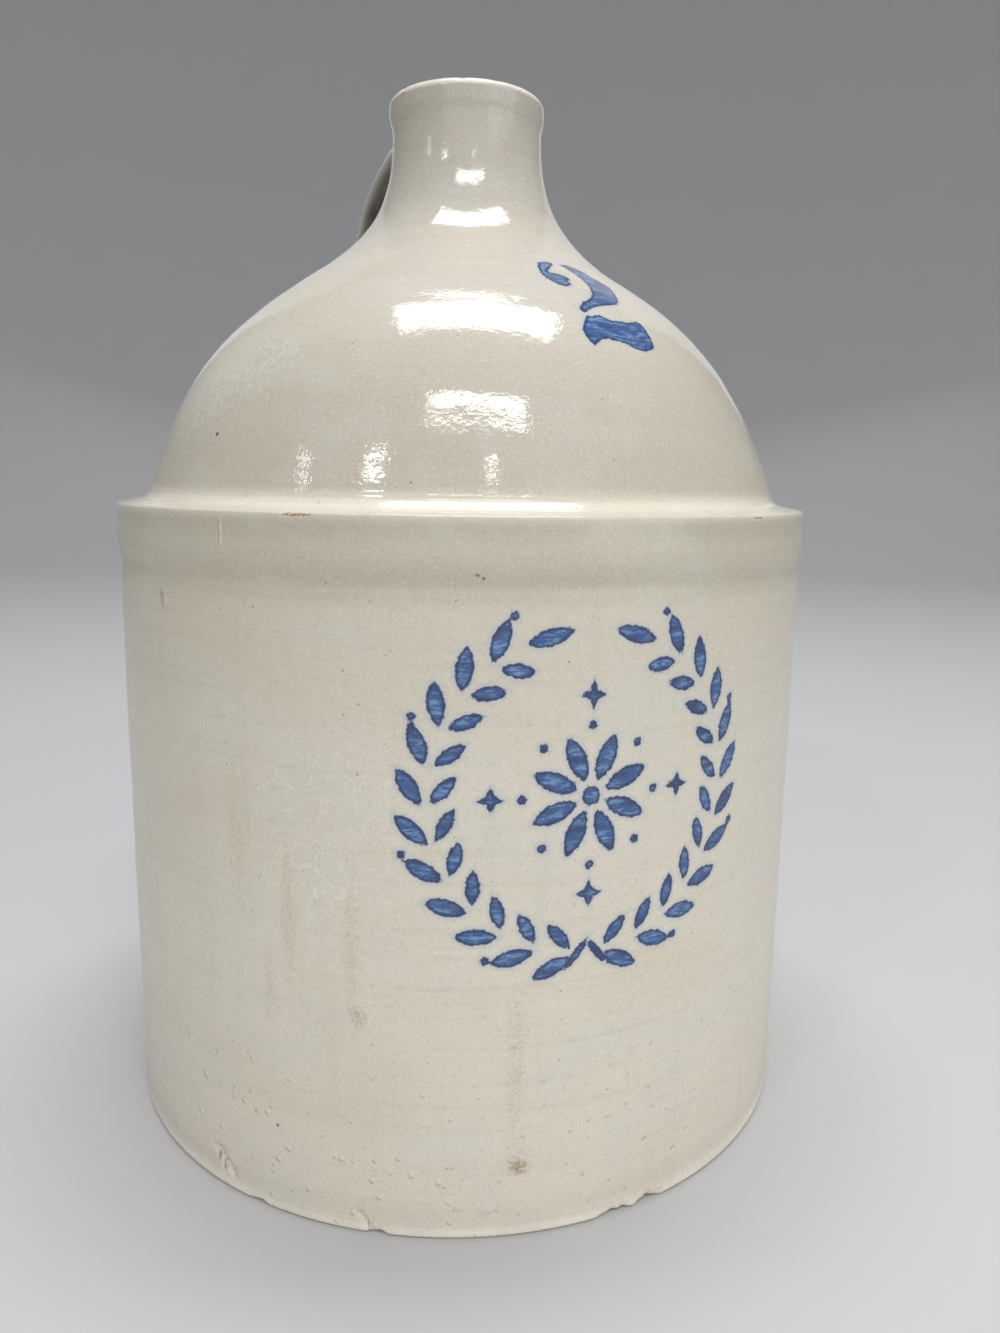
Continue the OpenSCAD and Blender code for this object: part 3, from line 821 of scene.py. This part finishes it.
def makeSmear(name, node, end, strapRows, caps):
    s = strap
    draw = np.random.default_rng(s["seed"] + len(name))
    order = strapRows if end == "top" else strapRows[::-1]
    run = np.cumsum(np.linalg.norm(np.diff(order, axis=0), axis=2), axis=0)
    climbRow = 1 + np.argmax(run > s["smearUp"][end], axis=0)
    column = np.arange(len(phi))
    up = order[climbRow, column]
    way = unitOf(order[climbRow - 2, column] - up)
    corner, cornerOut = onSkin(strapPoints(landing(end, 0.0)))
    beside = np.roll(corner, -1, axis=0) - np.roll(corner, 1, axis=0)
    outward = unitOf(np.cross(beside, cornerOut))
    outward *= np.sign(np.sum(outward * (corner - corner.mean(axis=0)), axis=1).mean())
    lobes = sum(size * np.sin(number * phi + start) for number, start, size in s["smearLobes"])
    foot = corner + outward * (s["smearOut"][end] * (1 + lobes))[:, None]
    foot[:, 2] = np.minimum(foot[:, 2], lipTop - s["smearBelowLip"])
    foot, footOut = onSkin(foot, s["smearSunk"])
    back = corner - foot
    back = unitOf(back - np.sum(back * footOut, axis=1)[:, None] * footOut)
    armUp = s["smearArm"] * np.linalg.norm(corner - up, axis=1)[:, None]
    armFoot = s["smearArm"] * np.linalg.norm(corner - foot, axis=1)[:, None]
    rows = [strapPoints(landing(end, s["slipGap"], share), share) for share in s["capShares"][::-1]]
    inner = len(rows)
    rows.append(order[0])
    for k in range(1, 4):
        rows.append(order[np.round(climbRow * k / 4).astype(int), column])
    startRow = len(rows)
    uneven = waves(draw, (phi, 0), *s["smearUneven"])[:, None]
    t = np.linspace(0, 1, s["smearSteps"])
    slow, even = s["smearEase"]
    for step in (t * t * (3 - 2 * t) * slow + t * even):
        point = cubic(up, up + way * armUp, foot + back * armFoot, foot, step)
        rows.append(point + cornerOut * uneven * (4 * step * (1 - step)) ** 2)
    endRow = len(rows) - 1
    rows.append(corner)
    for share in s["capShares"]:
        rows.append(onSkin(strapPoints(landing(end, 0.0, share), share))[0])
    centre = onSkin(strapPoints(landing(end, 0.0, s["tipShare"]), s["tipShare"])[:1])[0][0]
    piece = tube(name, rows, caps[end][-1], centre, (inner, startRow, endRow, endRow + 1),
                 dirtAndShadeOf(*s["smearDirtAndShade"]))
    facingOut(piece)
    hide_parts(node)
    return piece


pieces["strapHandle"], strapRows, strapCaps = makeStrap()
pieces["neckSmear"] = makeSmear("neckSmear", "handle_top_slip", "top", strapRows, strapCaps)
pieces["domeSmear"] = makeSmear("domeSmear", "handle_foot_slip", "foot", strapRows, strapCaps)
print("handle made")

# Glaze and clay

glaze = {
    # heights in millimetres and the glaze's colour there, a little darker up the body; painted light and
    # shade lie in it too: a painted highlight on the foot's rim, painted shade in the groove under the
    # band, painted light on the ledge's top and on the lip's top, and painted shade on the lower dome and
    # on the neck
    "tones": [(0, "f2ebdc"), (2.0, "f5eee0"), (3.4, "e9e2d2"), (6, "ddd5c6"), (14, "e2dacb"),
              (60, "e0d9ca"), (125, "dcd6c7"), (160, "d6cfbf"), (172, "d4cdbc"), (176.5, "c8c2b0"),
              (179.5, "beb8a6"), (182.5, "c3bdab"), (187, "c8c2b0"), (193, "bfb9a7"), (197.5, "ece5d5"),
              (203, "c6bfaf"), (225, "c8c1b2"), (262, "d7d0c4"), (290, "c9c3b7"), (322.3, "bbb5a9"),
              (323.3, "f2ece0")],
    # heights and roughness
    "gloss": [(0, 0.34), (120, 0.29), (170, 0.27), (188, 0.25), (194, 0.12), (200, 0.08), (230, 0.065),
              (290, 0.08), (324, 0.12)],
    # colours, and the bare clay's height, edge, unevenness, share, roughness and grain
    # the dark glaze colour below darkens the grain, and is also laid as painted shade in the pits and by
    # the gouge above the foot
    "warm": "cdbf9f", "cool": "d3d3cb", "drip": "b7aa90", "pale": "f3eee2", "darkGlazeAndShade": "a99f8c",
    "bare": "cfc5b3", "grit": "a3957d", "bareBelow": 0.8, "bareEdge": 0.6, "bareUneven": -0.8,
    "bareShare": 0.9, "bareRough": 0.85, "clayRough": 0.2, "gritty": (0.5, 0.7),
    "inkDeep": "04265c", "inkMid": "27528e", "inkPale": "6e91bf", "inkHaze": "aebccb",
    # the handle's dark brown is dirt and painted shade together
    "iron": "4f3f33", "rust": "93602c", "stain": "9c8a62", "drizzle": "bda582", "dirtAndShade": "33291d",
    # ink: distances to a stroke's edge, noise values or heights between which a layer comes in, its share,
    # and how far noise moves the edge
    "haze": (1.6, 0.3, 0, 0.4), "stroke": (0.28, -0.16, 0, 0.95), "strokeRim": (-1.1, -0.25, 0, 0.95),
    "ragged": (1.5, -0.75), "brushed": (0.44, 0.60), "streaked": (0.50, 0.64, 0, 0.8),
    "figurePale": (250.0, 263.0, 0.0, 0.20),
    # noises: length of their grains in millimetres, detail and roughness
    "clouds": {"mottle": ((26, 26, 20), 3.0, 0.55), "blush": ((60, 60, 44), 2.0, 0.5),
               "wheelLines": ((90, 90, 2.1), 3.0, 0.6), "drips": ((7, 7, 130), 2.0, 0.5),
               "freckle": ((2.4, 2.4, 2.0), 2.0, 0.55), "grain": ((0.75, 0.75, 0.75), 1.0, 0.5),
               "wobble": ((1.6, 1.6, 1.6), 2.0, 0.6), "ragged": ((1.1, 1.1, 1.1), 3.0, 0.65),
               "brushed": ((4.5, 4.5, 1.1), 3.0, 0.7), "streaks": ((9, 9, 2.2), 2.0, 0.6)},
    # noise, the values where its tint starts and is full, strength or the look's word for it, and colour
    "veils": [("blush", 0.5, 0.75, "warmth", "warm"), ("mottle", 0.52, 0.36, 0.22, "cool"),
              ("wheelLines", 0.5, 0.72, "lines", "drip"), ("drips", 0.56, 0.78, "drips", "drip"),
              ("freckle", 0.56, 0.72, 0.13, "drip"), ("grain", 0.52, 0.78, "grain", "darkGlazeAndShade"),
              ("grain", 0.48, 0.22, "grain", "pale")],
    # bearing, height, half width, half height, strength, colour
    "spots": [(-45.5, 195.3, 5.0, 0.42, 0.95, "rust"), (21.3, 195.2, 4.0, 0.38, 0.85, "rust"),
              (-16.0, 21.5, 3.8, 3.0, 0.80, "stain"), (-16.2, 25, 5.5, 6.0, 0.22, "drip"),
              (-16.6, 52, 3.2, 30, 0.30, "drizzle"), (-37.8, 64.6, 2.8, 4.0, 0.40, "stain"),
              (-38.6, 84, 2.8, 22, 0.30, "drizzle"), (-47.7, 90, 3.0, 24, 0.32, "drizzle"),
              (-56.0, 112, 4.2, 30, 0.22, "drizzle"), (-51.0, 70, 2.4, 14, 0.24, "drizzle"),
              (-22.3, 181.6, 0.7, 0.5, 0.9, "rust"), (-21.6, 180.8, 0.5, 0.45, 0.8, "rust"),
              (-27.5, 175.7, 0.4, 0.35, 0.8, "iron"), (-67.9, 215.7, 0.8, 0.7, 0.9, "inkDeep"),
              (-47.5, 206.9, 0.45, 0.45, 0.9, "inkMid"), (-50.4, 27.2, 0.6, 0.6, 0.8, "inkDeep"),
              # the pale upright mark on the band is a scratch carrying a painted glint
              (-60.6, 8.4, 1.7, 3.6, 0.8, "pale"), (-57.2, 190.6, 0.7, 4.2, 0.6, "pale"),
              (-28.2, 323.7, 1.2, 0.6, 0.7, "stain"), (-77.4, 322.2, 1.0, 0.8, 0.8, "stain"),
              # the broad pale spot on the dome's left is painted light, and the dark line by the gouge is a
              # crack with painted shade beside it
              (-86, 238, 48, 26, 0.55, "pale"), (-62.2, 9.6, 0.5, 3.0, 0.6, "darkGlazeAndShade"),
              (118, 40, 3.0, 4.0, 0.4, "stain"), (-140, 150, 2.4, 30, 0.2, "stain"),
              (150, 195.3, 4.0, 0.4, 0.9, "rust"), (70, 92, 2.4, 28, 0.2, "stain")],
    # bearing, height, radius and size of single lumps and pits in the glaze
    "lumps": [(-64.5, 33, 1.5, 0.30), (-66.2, 20, 1.4, 0.26), (-56.4, 31, 1.1, 0.24),
              (-52.2, 30, 1.0, 0.24), (-50.4, 16.7, 1.3, 0.26), (-40.4, 21.8, 1.2, 0.24),
              (-30.5, 19.4, 1.3, 0.24), (-73.6, 7.6, 1.4, 0.24), (-54.0, 29.6, 0.9, 0.2),
              (-48.8, 21.0, 1.1, 0.24), (-36.0, 16.5, 1.1, 0.22), (-26.8, 17.4, 1.4, 0.24),
              (3.5, 20.8, 1.2, -0.26), (11.7, 18, 1.1, -0.22), (9.2, 13.6, 1.3, -0.26),
              (-20.4, 9.2, 2.4, 0.22), (-71.4, 172, 1.2, -0.26), (-19.0, 7.8, 1.5, -0.2),
              (-24.0, 9.8, 1.6, 0.2), (-50.4, 27.2, 0.8, -0.2)],
    # bearing, height, half width, half height and size of upright cuts and ridges
    "scars": [(-62.2, 9.4, 0.5, 3.4, -0.5), (-60.8, 8.0, 0.9, 3.0, 0.9), (-36.4, 3.2, 0.6, 3.0, 0.5),
              (-57.2, 190.6, 0.5, 4.4, 0.35), (-71.4, 171.5, 0.8, 3.4, -0.4),
              (-70.4, 171.0, 0.6, 2.6, 0.4)],
    # share of the cells with a dot, width of a cell, and least and greatest radius of the dots
    "specks": (0.22, 3.0, 0.14, 0.42), "pimples": (0.36, 6.5, 0.45, 1.05), "pits": (0.15, 6.0, 0.3, 0.6),
    "speckShare": 0.75, "pitShare": 0.35, "pitted": (0.4, 0.55),
    "pimpleRise": 0.25, "pitDepth": -0.05, "lumpRise": 1.5, "speckDepth": -0.02, "crackDepth": -0.005,
    "pimplesBelow": (85.0, 40.0),
    # distances, in reaches, between which a mark comes in, and how far noise moves them
    "lumpEdge": (1.0, 0.1), "scarEdge": (1.2, 0.2), "scarUneven": (1.2, -0.6), "spotUneven": (1.6, -0.8),
    "spotFrom": 1.15, "spotSoft": 0.15, "spotFirm": 0.6,
    # values of a noise, or of the handle's dirt and painted shade, between which a share or a roughness
    # goes from least to greatest
    "spotPatchy": (0.34, 0.6, 0.35, 1), "dirtAndShadeEdge": (0.0, 0.9), "dirtAndShadePatchy": (0.3, 0.6, 0.7, 0.95),
    "dullMottle": (0.4, 0.65, -0.015, 0.03), "dullFreckle": (0.5, 0.7, 0.03),
    # crazing: place and reach of its patch, width of a cell, share, width of a crack, how far and how
    # finely the cracks bend, and distances and noise values between which the patch comes in
    "crazed": {"at": (-42, 112), "reach": (30, 30, 40), "cell": 6.5, "share": 0.45, "crack": (0.045, 0.008),
               "bend": 8, "bendScale": 0.12, "edge": (1.1, 0.4), "patchy": (0.4, 0.6, 0.1, 1)},
    "index": 1.5,       # of refraction
}
tree = None  # of the material in the making, to which the calls below add their nodes


def newMaterial(name):
    global tree
    material = bpy.data.materials.new(name)
    material.use_nodes = True
    tree = material.node_tree
    tree.nodes.clear()
    return material


def paint(code):
    # a screen colour as linear light
    steps = [int(code[i:i + 2], 16) / 255 for i in (0, 2, 4)]
    return tuple(c / 12.92 if c <= 0.04045 else ((c + 0.055) / 1.055) ** 2.4 for c in steps) + (1.0,)


def shade(kind, settings, feeds):
    made = tree.nodes.new("ShaderNode" + kind)
    for key, value in settings.items():
        setattr(made, key, value)
    for key, value in feeds.items():
        if isinstance(value, bpy.types.NodeSocket):
            tree.links.new(value, made.inputs[key])
        else:
            made.inputs[key].default_value = value
    return made.outputs


def reckon(sign, *values):
    return shade("Math", {"operation": sign}, dict(enumerate(values)))[0]


def times(value, factor):
    return reckon("MULTIPLY", value, factor)


def timesPlus(value, factor, added):
    return reckon("MULTIPLY_ADD", value, factor, added)


def vectorOf(sign, *values):
    return shade("VectorMath", {"operation": sign}, dict(enumerate(values)))


def placeOnJug():
    place = shade("TexCoord", {}, {})["Object"]
    return shade("VectorMath", {"operation": "SCALE"}, {0: place, "Scale": 1 / millimetre})[0]


def over(share, under, top):
    return shade("Mix", {"data_type": "RGBA"}, {0: share, 6: under, 7: top})[2]


def ramp(value, low, high, start=0.0, end=1.0):
    return shade("MapRange", {"interpolation_type": "SMOOTHSTEP"}, {
        "Value": value, "From Min": low, "From Max": high, "To Min": start, "To Max": end})[0]


def cloud(place, stretch, detail=2.0, rough=0.5):
    # soft noise whose grains are as long as these three sizes, in millimetres
    sized = vectorOf("DIVIDE", place, stretch)[0]
    return shade("TexNoise", {}, {"Vector": sized, "Scale": 1.0, "Detail": detail, "Roughness": rough})[0]


def byHeight(height, stops, colours):
    ladderOut = shade("ValToRGB", {}, {0: reckon("DIVIDE", height, lipTop)})[0]
    ladder = ladderOut.node.color_ramp
    ladder.interpolation = "EASE" if colours else "LINEAR"
    while len(ladder.elements) < len(stops):
        ladder.elements.new(0.5)
    for rung, (level, value) in zip(ladder.elements, stops):
        rung.position = level / lipTop
    for rung, (level, value) in zip(ladder.elements, stops):
        rung.color = paint(value) if colours else (value, value, value, 1)
    return ladderOut


def onJug(bearing, height):
    rad = np.interp(height, outline[:outerLast, 1], outline[:outerLast, 0])
    turn = math.radians(bearing)
    return rad * math.sin(turn), -rad * math.cos(turn), height


def dots(place, plane, share, cell, small, large):
    # a round dot in some of the cells, 1 at its middle
    cells = shade("TexVoronoi", {"voronoi_dimensions": plane}, {"Vector": place, "Scale": 1 / cell})
    lot = shade("SeparateColor", {}, {0: cells["Color"]})
    near = reckon("DIVIDE", cells["Distance"], timesPlus(lot[1], (large - small) / cell, small / cell))
    return times(ramp(near, 1.0, 0.25), reckon("LESS_THAN", lot[0], share))


def nearness(place, at, reach):
    # distance from a place on the jug, in reaches
    away = vectorOf("SUBTRACT", place, onJug(*at))[0]
    return vectorOf("LENGTH", vectorOf("DIVIDE", away, reach)[0])["Value"]


def attribute(name):
    return shade("Attribute", {"attribute_type": "GEOMETRY", "attribute_name": name}, {})["Fac"]


def makeGlaze(name, look):
    g, crazed = glaze, glaze["crazed"]
    material = newMaterial(name)
    place = placeOnJug()
    x, y, height = shade("SeparateXYZ", {}, {0: place})
    around = reckon("ARCTAN2", x, times(y, -1.0))
    flat = shade("CombineXYZ", {}, {0: times(around, bodyRad), 1: height})[0]
    clouds = {label: cloud(place, *sizes) for label, sizes in g["clouds"].items()}
    grain, mottle, freckle, wobble = (clouds[label] for label in ("grain", "mottle", "freckle", "wobble"))
    colour = byHeight(height, g["tones"], True)
    for label, low, high, strength, tint in g["veils"]:
        share = ramp(clouds[label], low, high, 0, look.get(strength, strength))
        colour = over(share, colour, paint(g[tint]))

    # pale hair cracks in one patch, and small iron specks
    bent = shade("TexNoise", {}, {"Vector": place, "Scale": crazed["bendScale"], "Detail": 2.0})["Color"]
    bent = vectorOf("MULTIPLY_ADD", bent, (crazed["bend"],) * 3, place)[0]
    cracks = shade("TexVoronoi", {"feature": "DISTANCE_TO_EDGE"}, {
        "Vector": bent, "Scale": 1 / crazed["cell"]})["Distance"]
    patch = times(ramp(nearness(place, crazed["at"], crazed["reach"]), *crazed["edge"]),
                  ramp(freckle, *crazed["patchy"]))
    cracks = times(ramp(cracks, *crazed["crack"]), patch)
    colour = over(times(cracks, crazed["share"]), colour, paint(g["pale"]))
    specks = dots(place, "3D", *g["specks"])
    colour = over(times(specks, g["speckShare"]), colour, paint(g["iron"]))

    # hollows and bumps, in millimetres
    relief = times(clouds["wheelLines"], look["lineDepth"])
    for size, depth in look["peel"]:
        relief = timesPlus(cloud(place, size), depth, relief)
    relief = timesPlus(cracks, g["crackDepth"], relief)
    relief = timesPlus(specks, g["speckDepth"], relief)
    if look["lumpy"]:
        pimples = times(dots(flat, "2D", *g["pimples"]), ramp(height, *g["pimplesBelow"]))
        relief = timesPlus(pimples, g["pimpleRise"], relief)
        pits = times(dots(flat, "2D", *g["pits"]), ramp(mottle, *g["pitted"]))
        relief = timesPlus(pits, g["pitDepth"], relief)
        # the pits are darkened too: painted shade in them
        colour = over(times(pits, g["pitShare"]), colour, paint(g["darkGlazeAndShade"]))
        for bearing, level, rad, size in g["lumps"]:
            lump = ramp(nearness(place, (bearing, level), (rad, rad, rad)), *g["lumpEdge"])
            relief = timesPlus(lump, size * g["lumpRise"], relief)
        for bearing, level, wide, tall, size in g["scars"]:
            away = reckon("ADD", nearness(place, (bearing, level), (wide, wide, tall)),
                          timesPlus(wobble, *g["scarUneven"]))
            relief = timesPlus(ramp(away, *g["scarEdge"]), size, relief)

    # stains, drips and chips at their places, with a few spots of painted light and shade among them
    if look["spots"]:
        uneven, patchy = timesPlus(wobble, *g["spotUneven"]), ramp(grain, *g["spotPatchy"])
        for bearing, level, wide, tall, strength, tint in g["spots"]:
            away = reckon("ADD", nearness(place, (bearing, level), (wide, wide, tall)), uneven)
            full = g["spotSoft"] if wide > 1 and strength < 0.9 else g["spotFirm"]
            share = times(ramp(away, g["spotFrom"], full, 0, strength), patchy)
            colour = over(share, colour, paint(g[tint]))

    # marks in cobalt: a haze round them, deep at their edges, brushed and paler inside
    ink = reckon("ADD", attribute("ink"), timesPlus(clouds["ragged"], *g["ragged"]))
    inkTone = over(ramp(clouds["brushed"], *g["brushed"]), paint(g["inkMid"]), paint(g["inkPale"]))
    inkTone = over(ramp(clouds["streaks"], *g["streaked"]), inkTone, paint(g["inkDeep"]))
    inkTone = over(ramp(height, *g["figurePale"]), inkTone, paint(g["inkHaze"]))
    inkTone = over(ramp(ink, *g["strokeRim"]), inkTone, paint(g["inkDeep"]))
    colour = over(ramp(ink, *g["haze"]), colour, paint(g["inkHaze"]))
    colour = over(ramp(ink, *g["stroke"]), colour, inkTone)

    # dirt inside the handle, laid darker as painted shade on its inside face, and bare clay under the foot
    if look["dirtyAndShaded"]:
        dirtAndShade = times(ramp(attribute("dirtAndShade"), *g["dirtAndShadeEdge"]), ramp(mottle, *g["dirtAndShadePatchy"]))
        colour = over(dirtAndShade, colour, paint(g["dirtAndShade"]))
    bareLevel = timesPlus(wobble, g["bareUneven"], height)
    bare = ramp(bareLevel, g["bareBelow"], g["bareBelow"] - g["bareEdge"])
    clay = over(ramp(grain, *g["gritty"]), paint(g["bare"]), paint(g["grit"]))
    colour = over(times(bare, g["bareShare"]), colour, clay)
    relief = reckon("ADD", relief, times(times(grain, bare), g["clayRough"]))
    bump = shade("Bump", {}, {"Strength": 1.0, "Distance": millimetre, "Height": relief})[0]
    low, high, dullest = g["dullFreckle"]
    gloss = reckon("ADD", byHeight(height, g["gloss"], False), ramp(mottle, *g["dullMottle"]))
    gloss = timesPlus(ramp(freckle, low, high), dullest, gloss)
    gloss = over(bare, gloss, (g["bareRough"],) * 3 + (1,))
    shine = shade("BsdfPrincipled", {}, {"Base Color": colour, "Roughness": gloss, "Normal": bump,
                                         "IOR": g["index"]})
    shade("OutputMaterial", {}, {"Surface": shine[0]})
    return material


# strengths of the veils, depths in millimetres, and the peel's grains with their depths
looks = {
    "jugGlaze": {"warmth": 0.20, "lines": 0.14, "drips": 0.12, "grain": 0.22, "spots": True, "lumpy": True,
                 "dirtyAndShaded": False, "lineDepth": 0.012,
                 "peel": [((3.2, 3.2, 3.0), 0.020), ((1.0, 1.0, 1.0), 0.008)]},
    "shoulderGlaze": {"warmth": 0.22, "lines": 0.11, "drips": 0.05, "grain": 0.22, "spots": True,
                      "lumpy": False, "dirtyAndShaded": False, "lineDepth": 0.010,
                      "peel": [((3.4, 3.4, 2.6), 0.052), ((1.2, 1.2, 1.0), 0.034)]},
    "handleGlaze": {"warmth": 0.55, "lines": 0.10, "drips": 0.25, "grain": 0.26, "spots": False,
                    "lumpy": False, "dirtyAndShaded": True, "lineDepth": 0.014,
                    "peel": [((3.2, 3.2, 3.2), 0.05), ((1.0, 1.0, 1.0), 0.012)]},
}
finishes = {name: makeGlaze(name, look) for name, look in looks.items()}
for name, finish, slot in (
        ("footDisc", "jugGlaze", "bare_foot"), ("footJoint", "jugGlaze", "slip"),
        ("wallShell", "jugGlaze", "body_glaze"), ("ledgeCove", "shoulderGlaze", "slip"),
        ("shoulderDome", "shoulderGlaze", "shoulder_glaze"), ("collarJoint", "shoulderGlaze", "slip"),
        ("neckAndLip", "shoulderGlaze", "shoulder_glaze"), ("strapHandle", "handleGlaze", "shoulder_glaze"),
        ("neckSmear", "handleGlaze", "slip"), ("domeSmear", "handleGlaze", "slip")):
    pieces[name].data.materials.append(finishes[finish])
    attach(pieces[name], "root")
print("glaze laid on")

# Floor and light, placed as seen from the camera's side: right, away from it, up

studio = {
    "paperTone": "cfcfd0", "paperCloud": (120, 120, 120), "paperRough": 0.8,
    "cloudTone": (0.5, 0.5, 0.5, 1), "cloudShare": 0.04, "cloudFrom": 0.35, "cloudFull": 0.65,
    "airTone": (0.94, 0.97, 1.0, 1), "airStrength": 0.27,
    # a round sheet of paper that curves up into a wall, with sizes in metres
    "paper": {"inner": (0.1, 0.3, 0.6, 1), "flat": 2.1, "curve": 1.9, "top": 4.2, "sides": 96, "steps": 24},
    # name, place in metres, width, depth, radiance, aim
    "lamps": [("overhead", (0.10, 0.22, 2.05), 1.19, 0.48, 10.8, (0.05, 0.10, 0)),
              ("front", (0.14, -1.34, 2.01), 1.16, 0.24, 15.2, (0, 0, 0.22)),
              ("smallLeft", (-1.14, -1.62, 1.68), 0.21, 0.045, 110.0, (0, 0, 0.22)),
              ("smallRight", (0.34, -1.95, 1.73), 0.08, 0.03, 110.0, (0, 0, 0.22)),
              ("sliver", (-1.75, -0.93, 1.40), 0.05, 0.24, 16.0, (0, 0, 0.22)),
              ("behind", (0.1, 2.5, 1.6), 3.0, 2.0, 0.36, (0, 0, 0.12)),
              ("fill", (1.9, -1.5, 0.75), 1.9, 1.5, 1.2, (0, 0, 0.12)),
              ("lowFill", (0.3, -2.2, 0.86), 3.6, 1.6, 0.74, (0, 0, 0.15))],
}


def hangLamp(name, place, width, depth, radiance, aim):
    around = Matrix.Rotation(-math.radians(viewpoint["bearing"]), 3, "Z")
    lamp = bpy.data.lights.new(name, "AREA")
    lamp.shape = "RECTANGLE"
    lamp.size, lamp.size_y = width, depth
    lamp.energy = radiance * math.pi * width * depth
    holder = bpy.data.objects.new(name, lamp)
    bpy.context.scene.collection.objects.link(holder)
    holder.visible_camera = False
    stand, target = around @ Vector(place), around @ Vector(aim)
    back = (stand - target).normalized()
    side = around @ Vector((1, 0, 0))
    side = (side - side.dot(back) * back).normalized()
    axes = Matrix((side, back.cross(side), back)).transposed()
    holder.matrix_world = Matrix.Translation(stand) @ axes.to_4x4()


def makePaper():
    material = newMaterial("paperTone")
    share = ramp(cloud(placeOnJug(), studio["paperCloud"], 3.0), studio["cloudFrom"], studio["cloudFull"],
                 0, studio["cloudShare"])
    tone = over(share, paint(studio["paperTone"]), studio["cloudTone"])
    shine = shade("BsdfPrincipled", {}, {"Base Color": tone, "Roughness": studio["paperRough"]})
    shade("OutputMaterial", {}, {"Surface": shine[0]})
    return material


def layPaper():
    paper = studio["paper"]
    sides = paper["sides"]
    rings = [(paper["flat"] * share, 0) for share in paper["inner"]]
    rings += bow((paper["flat"], paper["curve"]), paper["curve"], -90, 0, paper["steps"])[1:].tolist()
    rings.append((paper["flat"] + paper["curve"], paper["top"]))
    turns = np.linspace(0, 2 * math.pi, sides, endpoint=False)
    points = [(0, 0, 0)]
    for rad, level in rings:
        points += [(rad * math.cos(turn), rad * math.sin(turn), level) for turn in turns]
    faces = [(0, 1 + k, 1 + (k + 1) % sides) for k in range(sides)]
    for start in range(1, 1 + sides * (len(rings) - 1), sides):
        for k in range(sides):
            here, there = start + k, start + (k + 1) % sides
            faces.append((here, here + sides, there + sides, there))
    sheet = bpy.data.meshes.new("paper")
    sheet.from_pydata(points, [], faces)
    sheet.polygons.foreach_set("use_smooth", np.ones(len(faces), bool))
    floor = bpy.data.objects.new("paper", sheet)
    bpy.context.scene.collection.objects.link(floor)
    floor.data.materials.append(makePaper())


def fillAir():
    world = bpy.data.worlds.new("studioAir")
    bpy.context.scene.world = world
    world.use_nodes = True
    air = world.node_tree.nodes["Background"].inputs
    air["Color"].default_value = studio["airTone"]
    air["Strength"].default_value = studio["airStrength"]


for lamp in studio["lamps"]:
    hangLamp(*lamp)
layPaper()
fillAir()
print("studio lit")
